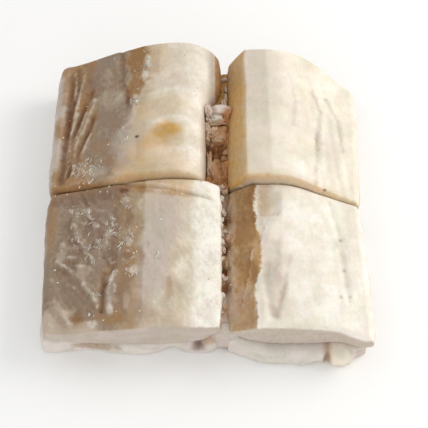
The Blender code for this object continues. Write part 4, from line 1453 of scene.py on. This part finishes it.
def groove_bed_piece():
    """Make the ragged flesh that joins the two sides along the bottom of the groove."""
    across, along = detail(GROOVE_BED_STEPS)
    s, t = np.meshgrid(np.linspace(0, 1, across + 1), np.linspace(0, 1, along + 1), indexing="ij")
    y = blend(GROOVE_FRONT_Y, GROOVE_BACK_Y, t)
    x = blend(groove_left(y) - GROOVE_BED_OVERLAP, groove_right(y) + GROOVE_BED_OVERLAP, s)
    end = np.minimum(t, 1 - t) * (GROOVE_BACK_Y - GROOVE_FRONT_Y)
    z = blend(GROOVE_BED_FOOT + 1, bed_height(x, y), np.sqrt(smooth(end / 5)))
    rim, ring, faces = grid(across, along)
    lower = np.arange(x.size, x.size + len(ring))
    faces += band(ring, lower) + strips(lower, across, along)
    foot = in_metres(x[rim], y[rim], 0 * x[rim] + GROOVE_BED_FOOT)
    uneven = rough(x, y, 5, 153)
    at_front = smooth((2 - y) / 4)
    # Painted shade: the sunken parts of the bed turn brown, and the raised ones at the front are painted
    # lighter
    sunk_shade = smooth((27 - z) / 2.4) * at_front + smooth((30 - z) / 4) * (1 - at_front)
    brown = 0.12 + 0.16 * at_front + 0.5 * sunk_shade + 0.2 * uneven
    light = 0.15 * at_front * (1 - sunk_shade) * smooth(0.5 + uneven)
    front_end = smooth((-74 - y) / 14)
    ash = 0.55 * at_front * (1 - sunk_shade) * smooth(0.7 + uneven) + 0.55 * front_end
    gold = 0.50 * smooth((y - 72) / 8)
    colours = shades(x, light=light, ash=ash, gold=gold, brown=brown).reshape(len(SHADES), -1)
    colours = np.concatenate([colours, colours[:, :len(ring)]], axis=1)
    hollows = np.concatenate([0.5 * (z - soften(z, 3)).ravel(), np.zeros(len(ring))])
    corners = np.concatenate([in_metres(x, y, z).reshape(-1, 3), foot])
    return closed_piece("groove_bed", corners, faces, hollows, colours)


def front_fold_piece():
    """Make the fold of flesh that closes the groove at the front, down to the table."""
    (across, along, up), faces = ball(5)
    uneven = 1 + 0.05 * rough(2 * across, 2 * up + along, 0.9, 154)
    x = FRONT_FOLD_PLACE[0] + FRONT_FOLD_SIZE[0] * fuller(across) * uneven
    y = FRONT_FOLD_PLACE[1] + FRONT_FOLD_SIZE[1] * fuller(along) * uneven
    z = FRONT_FOLD_PLACE[2] + FRONT_FOLD_SIZE[2] * fuller(up) * np.minimum(uneven, 1)
    # Painted light and shade: lighter towards the top, browner towards the bottom
    colours = shades(x, light=0.25 * smooth(0.5 + up), ash=0.9 + 0 * x, brown=0.15 * smooth(-up))
    return closed_piece("front_fold", in_metres(x, y, z), faces, 0 * x, colours)


EDGE_TATTERS = 18


def edge_tatters():
    """Return small pale shreds that stand along the groove edge of the front left block."""
    picked = random.Random(5)
    tatters = []
    for _ in range(EDGE_TATTERS):
        y = picked.uniform(-104, -6)
        size = picked.uniform(0.4, 1.1) ** 1.5
        place = (10.7 + picked.uniform(-0.4, 0.5), y, 32.6 + 0.03 * y)
        half_size = (1.2 * size, picked.uniform(0.8, 2.4) * size, size)
        tatters.append((place, half_size, picked.uniform(-40, 40), 1))
    return tuple(tatters)


def shreds_piece():
    """Make the separate shreds of flesh that lie in the groove and hang from its sides."""
    corners = []
    faces = []
    hollows = []
    colours = []
    count = 0
    for index, (place, half_size, turn, pale) in enumerate(SHREDS + edge_tatters()):
        (across, along, up), ball_faces = ball(4)
        seed = 200 + 3 * index
        crags = rough(2.2 * across + up, 2.2 * along - up, 1.1, seed)
        torn = rough(2.6 * up + along, 2.6 * across, 1, seed + 2)
        strands = fibres(4 * across, 4 * along + 2 * up, 10, 5, 0.9, seed + 1)
        size = 1 + 0.36 * crags + 0.14 * strands
        angle = math.radians(turn)
        local_x = (fuller(across) * size + 0.22 * torn) * half_size[0]
        local_y = (fuller(along) * size - 0.18 * torn) * half_size[1]
        x = place[0] + local_x * math.cos(angle) - local_y * math.sin(angle)
        y = place[1] + local_x * math.sin(angle) + local_y * math.cos(angle)
        z = place[2] + up * half_size[2] * size
        # Painted light and shade: raised crags are lighter; sunken crags, strand grooves and undersides
        # are browner
        light = pale * smooth(0.75 + 0.5 * crags)
        tan = 0.5 * (1 - pale) + 0.2 * smooth(-crags)
        brown = 0.5 * (1 - pale) * smooth(0.5 - up) + 0.25 * smooth(-1.5 * strands)
        corners.append(in_metres(x, y, z))
        faces += [[count + corner for corner in face] for face in ball_faces]
        hollows.append((0.16 * strands + 0.25 * np.minimum(crags, 0)) * min(half_size))
        colours.append(shades(x, light=light, ash=0.6 * pale + 0 * x, tan=tan, brown=brown))
        count += len(across)
    return closed_piece("groove_shreds", np.concatenate(corners), faces,
                        np.concatenate(hollows), np.concatenate(colours, axis=1))


# Loose fibres and crumbs, strewn with Geometry Nodes

FIBRE_BENDS = ((0.55, 0.10, 0.20), (-0.42, 0.07, 0.15), (0.30, 0.18, -0.25))
CRUMB_FORMS = (((1, 0.55, 0.35), 1), ((0.8, 0.8, 0.5), 4), ((1.2, 0.4, 0.4), 9))


def new_strewing_tree(name, area, size_names):
    """Start a tree that strews shapes over a surface where its area attribute is above 0."""
    tree = bpy.data.node_groups.new(name, "GeometryNodeTree")
    kinds = {"Surface": "Geometry", "Amount": "Float", **dict.fromkeys(size_names, "Float"),
             "Seed": "Int", "Material": "Material"}
    for title, kind in kinds.items():
        tree.interface.new_socket(title, in_out="INPUT", socket_type="NodeSocket" + kind)
    tree.interface.new_socket("Strewn", in_out="OUTPUT", socket_type="NodeSocketGeometry")
    given = add_node(tree, "NodeGroupInput").outputs
    share = add_node(tree, "GeometryNodeInputNamedAttribute", {"Name": area}).outputs["Attribute"]
    density = calculate(tree, "MULTIPLY", share, given["Amount"])
    points = add_node(tree, "GeometryNodeDistributePointsOnFaces",
                      {"Mesh": given["Surface"], "Density": density, "Seed": given["Seed"]}).outputs
    return tree, given, points


def random_number(tree, low, high, seed):
    return add_node(tree, "FunctionNodeRandomValue", {2: low, 3: high, "Seed": seed}).outputs[1]


def finish_strewing_tree(tree, given, points, shapes, rotation, scale):
    """Put a random one of three shapes on each point, and end with plain geometry in its material."""
    join = add_node(tree, "GeometryNodeJoinGeometry")
    for shape in reversed(shapes):
        instance = add_node(tree, "GeometryNodeGeometryToInstance", {0: shape}).outputs[0]
        tree.links.new(instance, join.inputs[0])
    index = add_node(tree, "FunctionNodeRandomValue", {4: 0, 5: 2, "Seed": 5}, data_type="INT").outputs[2]
    placed = add_node(tree, "GeometryNodeInstanceOnPoints",
                      {"Points": points["Points"], "Instance": join.outputs[0], "Pick Instance": True,
                       "Instance Index": index, "Rotation": rotation, "Scale": scale}).outputs[0]
    plain_shapes = add_node(tree, "GeometryNodeRealizeInstances", {"Geometry": placed}).outputs[0]
    finished = add_node(tree, "GeometryNodeSetMaterial",
                        {"Geometry": plain_shapes, "Material": given["Material"]}).outputs[0]
    add_node(tree, "NodeGroupOutput", {"Strewn": finished})
    return tree


def fibre_tree():
    """Strands of dried muscle that lie along the surface, bent and tapered at both ends."""
    tree, given, points = new_strewing_tree("dried flesh fibres", "fibre_area", ("Length", "Thickness"))
    profile = add_node(tree, "GeometryNodeCurvePrimitiveCircle",
                       {"Resolution": 4, "Radius": 0.5}).outputs[0]
    along = add_node(tree, "GeometryNodeSplineParameter").outputs["Factor"]
    arch = calculate(tree, "SINE", calculate(tree, "MULTIPLY", along, math.pi))
    ratio = calculate(tree, "DIVIDE", given["Thickness"], given["Length"])
    width = calculate(tree, "MULTIPLY", calculate(tree, "MAXIMUM", arch, 0.2), ratio)
    strands = []
    for sideways, lift, twist in FIBRE_BENDS:
        line = add_node(tree, "GeometryNodeCurveQuadraticBezier",
                        {"Resolution": 6, "Start": (-0.5, 0, -0.03), "Middle": (0, sideways, lift),
                         "End": (0.5, twist, 0)}).outputs[0]
        strands.append(add_node(tree, "GeometryNodeCurveToMesh",
                                {"Curve": line, "Profile Curve": profile, "Scale": width,
                                 "Fill Caps": True}).outputs[0])
    heading = calculate(tree, "SINE", random_number(tree, -2.2, 1.4, 11))
    direction = add_node(tree, "ShaderNodeCombineXYZ", {"X": heading, "Y": -1}).outputs[0]
    upright = add_node(tree, "FunctionNodeAlignRotationToVector",
                       {"Vector": points["Normal"]}, axis="Z").outputs[0]
    rotation = add_node(tree, "FunctionNodeAlignRotationToVector",
                        {"Rotation": upright, "Vector": direction}, axis="X", pivot_axis="Z").outputs[0]
    scale = calculate(tree, "MULTIPLY", random_number(tree, 0.35, 1.5, 12), given["Length"])
    return finish_strewing_tree(tree, given, points, strands, rotation, scale)


def crumb_tree():
    """Ragged crumbs, each a ball pushed out of shape and flattened."""
    tree, given, points = new_strewing_tree("dried flesh crumbs", "crumb_area", ("Smallest", "Largest"))
    place = add_node(tree, "GeometryNodeInputPosition").outputs[0]
    crumbs = []
    for stretch, shift in CRUMB_FORMS:
        start = add_node(tree, "GeometryNodeMeshIcoSphere", {"Radius": 0.5, "Subdivisions": 2}).outputs[0]
        moved = vector_math(tree, "ADD", {0: place, 1: (shift, shift, shift)})
        lumps = add_node(tree, "ShaderNodeTexNoise",
                         {"Vector": moved, "Scale": 2.6, "Detail": 1}).outputs["Fac"]
        push = vector_math(tree, "SCALE", {0: place, "Scale": remap(tree, lumps, 0.3, 0.7, -0.55, 0.55)})
        rugged = add_node(tree, "GeometryNodeSetPosition", {"Geometry": start, "Offset": push}).outputs[0]
        crumbs.append(add_node(tree, "GeometryNodeTransform",
                               {"Geometry": rugged, "Scale": stretch}).outputs[0])
    turned = add_node(tree, "FunctionNodeRandomValue",
                      {0: (-0.5, -0.5, -3.1), 1: (0.5, 0.5, 3.1), "Seed": 13},
                      data_type="FLOAT_VECTOR").outputs[0]
    turn = add_node(tree, "FunctionNodeEulerToRotation", {"Euler": turned}).outputs[0]
    rotation = add_node(tree, "FunctionNodeRotateRotation",
                        {"Rotation": points["Rotation"], "Rotate By": turn},
                        rotation_space="LOCAL").outputs[0]
    scale = random_number(tree, given["Smallest"], given["Largest"], 14)
    return finish_strewing_tree(tree, given, points, crumbs, rotation, scale)


def strew(name, surface, tree, inputs):
    """Strew a tree's shapes over a finished piece and return them as one plain mesh."""
    host = add_object(name + "_host", surface.data)
    modifier = host.modifiers.new("strewn", "NODES")
    modifier.node_group = tree
    for item in tree.interface.items_tree:
        if item.item_type == "SOCKET" and item.in_out == "INPUT" and item.name in inputs:
            modifier[item.identifier] = inputs[item.name]
    evaluated = host.evaluated_get(bpy.context.evaluated_depsgraph_get())
    mesh = bpy.data.meshes.new_from_object(evaluated)
    host.modifiers.remove(modifier)
    bpy.data.objects.remove(host)
    mesh.name = name
    mesh.shade_smooth()
    return add_object(name, mesh)


# Fitting a piece to the frame

def fit_piece(piece, material, slot, *nodes):
    """Give a finished piece its material, attach it to the body and hide the CAD parts that it stands
    for.
    """
    piece.data.materials.clear()
    piece.data.materials.append(material)
    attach(piece, BODY)
    if nodes:
        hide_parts(*nodes)


# The stage

CAMERA_ELEVATION = 52
CAMERA_DISTANCE = 0.9
CAMERA_TARGET = (0.00594, -0.01782, 0.03)
IMAGE_PIXELS = 428
FOCAL_PIXELS = 1350
SENSOR_MM = 36
LIGHT_SIZE = 0.9
LIGHT_TARGET = (0, 0, 0.02)
FLOOR_HALF = 4


def aim(thing, place, target):
    """Put a light or the camera at a place and turn it to look at the target."""
    thing.location = place
    thing.rotation_euler = (Vector(target) - Vector(place)).to_track_quat("-Z", "Y").to_euler()


def add_camera():
    """Look at the fish as in the photograph: from the front and well above."""
    lens = bpy.data.cameras.new("camera")
    lens.sensor_width = SENSOR_MM
    lens.lens = FOCAL_PIXELS * SENSOR_MM / IMAGE_PIXELS
    camera = add_object("camera", lens)
    elevation = math.radians(CAMERA_ELEVATION)
    away = Vector((0, -math.cos(elevation), math.sin(elevation))) * CAMERA_DISTANCE
    aim(camera, Vector(CAMERA_TARGET) + away, CAMERA_TARGET)
    bpy.context.scene.camera = camera


def add_light(name, place, power, colour):
    lamp = bpy.data.lights.new(name, "AREA")
    lamp.shape = "DISK"
    lamp.size = LIGHT_SIZE
    lamp.energy = power
    lamp.color = colour
    aim(add_object(name, lamp), place, LIGHT_TARGET)


def add_floor(colour):
    """A pale table top, wide enough to fill every view."""
    corners = [(x * FLOOR_HALF, y * FLOOR_HALF, 0) for x, y in ((-1, -1), (1, -1), (1, 1), (-1, 1))]
    mesh = bpy.data.meshes.new("table_top")
    mesh.from_pydata(corners, [], [(0, 1, 2, 3)])
    material = bpy.data.materials.new("pale matt table top")
    material.use_nodes = True
    shader = material.node_tree.nodes["Principled BSDF"]
    shader.inputs["Base Color"].default_value = (*colour, 1)
    shader.inputs["Roughness"].default_value = 0.9
    mesh.materials.append(material)
    add_object("table_top", mesh)


# Sizes and colours that a user would change

def colour_setting(name, description, hex_colour):
    return FloatVectorProperty(name=name, description=description, subtype="COLOR", size=3,
                               min=0, max=1, default=linear(hex_colour))


def number_setting(name, description, default, unit="NONE"):
    return FloatProperty(name=name, description=description, default=default, min=0, unit=unit)


def length_setting(name, description, default_mm):
    return number_setting(name, description, default_mm * METRES, "LENGTH")


class FleshColours(bpy.types.PropertyGroup):
    """Colours of the dried flesh."""

    # The left flesh is darker partly in its own colour and partly as painted shade for the left loins,
    # which slope away from the main light
    left_flesh: colour_setting("Left flesh", "The darker loin, on the left", "#CBB79A")
    right_flesh: colour_setting("Right flesh", "The paler loin, on the right", "#E6DAC2")
    under_flesh: colour_setting("Lower flesh", "The layer underneath", "#E6DFD8")
    torn_flesh: colour_setting("Torn flesh", "The lumps in the groove", "#BC844C")
    # Light is also laid on the rises of the relief as painted highlight
    light: colour_setting("Light", "Dried-out edges and the tops of the loins", "#F4EFE4")
    ash: colour_setting("Ash", "Cut faces and the smooth flesh beside the ridge", "#C4B7AB")
    grey: colour_setting("Grey", "Thin flesh with the grey belly lining near", "#917D69")
    gold: colour_setting("Gold", "Flesh that has yellowed as it dried", "#D0A55E")
    tan: colour_setting("Tan", "Torn and browned flesh", "#A27A4C")
    # Brown is also laid into hollows, cracks and the deep groove as painted shade
    brown: colour_setting("Brown", "The bottom of cracks and the groove", "#6B3F1E")


class LooseBits(bpy.types.PropertyGroup):
    """Sizes and amounts of the loose fibres and crumbs."""

    fibre_amount: number_setting("Fibres", "Fibres on a square metre where they are thickest", 1.5e6)
    fibre_length: length_setting("Fibre length", "Usual length of a fibre", 3.2)
    fibre_thickness: length_setting("Fibre thickness", "Thickness at the middle of a fibre", 0.6)
    crumb_amount: number_setting("Crumbs", "Crumbs on a square metre where they are thickest", 2.2e5)
    crumb_smallest: length_setting("Smallest crumb", "Width of the smallest crumb", 0.5)
    crumb_largest: length_setting("Largest crumb", "Width of the largest crumb", 1.8)


class StageLook(bpy.types.PropertyGroup):
    """Lights and floor."""

    floor: colour_setting("Floor", "The table top", "#FDFDFC")
    key_power: number_setting("Main light", "Power of the soft light from the right", 8, "POWER")
    front_power: number_setting("Front light", "Power of the soft light from the front", 2.6, "POWER")
    sky: number_setting("Room light", "Brightness of the light from all round", 0.78)


class DriedCodSettings(bpy.types.PropertyGroup):
    """All settings of the dried cod."""

    colours: PointerProperty(type=FleshColours)
    bits: PointerProperty(type=LooseBits)
    stage: PointerProperty(type=StageLook)


# Operators: one for each group of like pieces

def make_pieces(pieces, name, flesh, look, slot):
    """Give finished pieces their flesh; each piece comes with the names of the nodes it stands for."""
    colours = bpy.context.scene.dried_cod.colours
    material = flesh_material(name, palette(colours, getattr(colours, flesh)), *look)
    for piece, *nodes in pieces:
        fit_piece(piece, material, slot, *nodes)


class DRIEDCOD_OT_left_loins(bpy.types.Operator):
    """Make the two left loin blocks"""

    bl_idname = "dried_cod.left_loins"
    bl_label = "Left loin blocks"

    def execute(self, context):
        pieces = [(loin_piece(block), block.name) for block in (BACK_LEFT, FRONT_LEFT)]
        make_pieces(pieces, "salted cod flesh, grey and dried", "left_flesh", LEFT_LOOK, "loin_left")
        return {"FINISHED"}


class DRIEDCOD_OT_right_loins(bpy.types.Operator):
    """Make the two right loin blocks"""

    bl_idname = "dried_cod.right_loins"
    bl_label = "Right loin blocks"

    def execute(self, context):
        pieces = [(loin_piece(block), block.name) for block in (BACK_RIGHT, FRONT_RIGHT)]
        make_pieces(pieces, "salted cod flesh, pale and dried", "right_flesh", RIGHT_LOOK, "loin_right")
        return {"FINISHED"}


class DRIEDCOD_OT_under_layer(bpy.types.Operator):
    """Make the four blocks of the lower layer and the fold in front of the groove"""

    bl_idname = "dried_cod.under_layer"
    bl_label = "Lower layer"

    def execute(self, context):
        pieces = [(under_piece(block), block.name) for block in UNDER_BLOCKS] + [(front_fold_piece(),)]
        make_pieces(pieces, "salted cod flesh, lower layer", "under_flesh", UNDER_LOOK, "under_layer")
        return {"FINISHED"}


class DRIEDCOD_OT_torn_flesh(bpy.types.Operator):
    """Make the torn flesh in the groove"""

    bl_idname = "dried_cod.torn_flesh"
    bl_label = "Torn flesh"

    def execute(self, context):
        pieces = [(torn_piece(*lump), lump[0]) for lump in TORN_FLESH]
        pieces += [(groove_bed_piece(),), (shreds_piece(),)]
        make_pieces(pieces, "torn cod flesh, browned", "torn_flesh", TORN_LOOK, "torn_flesh")
        return {"FINISHED"}


class DRIEDCOD_OT_loose_bits(bpy.types.Operator):
    """Strew loose fibres and crumbs over the loin blocks"""

    bl_idname = "dried_cod.loose_bits"
    bl_label = "Loose fibres and crumbs"

    def execute(self, context):
        colours = context.scene.dried_cod.colours
        bits = context.scene.dried_cod.bits
        fibre = crumb_material("dried muscle fibre", palette(colours, colours.ash), 1)
        crumb = crumb_material("crumb of dried cod", palette(colours, colours.left_flesh), 0.7)
        fibre_inputs = {"Amount": bits.fibre_amount, "Length": bits.fibre_length,
                        "Thickness": bits.fibre_thickness, "Seed": 3, "Material": fibre}
        crumb_inputs = {"Amount": bits.crumb_amount, "Smallest": bits.crumb_smallest,
                        "Largest": bits.crumb_largest, "Seed": 4, "Material": crumb}
        left = (BACK_LEFT, FRONT_LEFT)
        every = left + (BACK_RIGHT, FRONT_RIGHT)
        for kind, tree, inputs, blocks in (("fibres_", fibre_tree(), fibre_inputs, left),
                                           ("crumbs_", crumb_tree(), crumb_inputs, every)):
            for block in blocks:
                surface = bpy.data.objects[block.name + "_flesh"]
                piece = strew(block.name.replace("loin_", kind), surface, tree, inputs)
                fit_piece(piece, inputs["Material"], "loin_left" if block in left else "loin_right")
        return {"FINISHED"}


class DRIEDCOD_OT_stage(bpy.types.Operator):
    """Set the floor, the lights and the camera"""

    bl_idname = "dried_cod.stage"
    bl_label = "Stage"

    def execute(self, context):
        look = context.scene.dried_cod.stage
        world = bpy.data.worlds.new("soft room light")
        world.use_nodes = True
        sky = world.node_tree.nodes["Background"]
        sky.inputs["Color"].default_value = (1, 1, 1, 1)
        sky.inputs["Strength"].default_value = look.sky
        context.scene.world = world
        add_light("main_light", (1.1, 0.35, 0.70), look.key_power, (1, 0.972, 0.925))
        add_light("front_light", (-0.1, -1.3, 0.30), look.front_power, (0.92, 0.96, 1))
        add_floor(look.floor)
        add_camera()
        context.scene.view_settings.view_transform = "Standard"
        context.scene.view_settings.look = "None"
        return {"FINISHED"}


class DRIEDCOD_PT_panel(bpy.types.Panel):
    """Lists the pieces of the dried cod"""

    bl_label = "Dried cod"
    bl_space_type = "VIEW_3D"
    bl_region_type = "UI"
    bl_category = "Dried cod"

    def draw(self, context):
        for operator in OPERATORS:
            self.layout.operator(operator.bl_idname)
        settings = context.scene.dried_cod
        for group in (settings.colours, settings.bits, settings.stage):
            box = self.layout.box()
            for name in group.bl_rna.properties.keys():
                if name not in {"rna_type", "name"}:
                    box.prop(group, name)


OPERATORS = (
    DRIEDCOD_OT_left_loins,
    DRIEDCOD_OT_right_loins,
    DRIEDCOD_OT_under_layer,
    DRIEDCOD_OT_torn_flesh,
    DRIEDCOD_OT_loose_bits,
    DRIEDCOD_OT_stage,
)
CLASSES = (FleshColours, LooseBits, StageLook, DriedCodSettings) + OPERATORS + (DRIEDCOD_PT_panel,)


def register():
    for item in CLASSES:
        bpy.utils.register_class(item)
    bpy.types.Scene.dried_cod = PointerProperty(type=DriedCodSettings)


def unregister():
    del bpy.types.Scene.dried_cod
    for item in reversed(CLASSES):
        bpy.utils.unregister_class(item)


def main():
    register()
    bpy.ops.dried_cod.left_loins()
    bpy.ops.dried_cod.right_loins()
    bpy.ops.dried_cod.under_layer()
    bpy.ops.dried_cod.torn_flesh()
    bpy.ops.dried_cod.loose_bits()
    bpy.ops.dried_cod.stage()


if __name__ == "__main__":
    main()
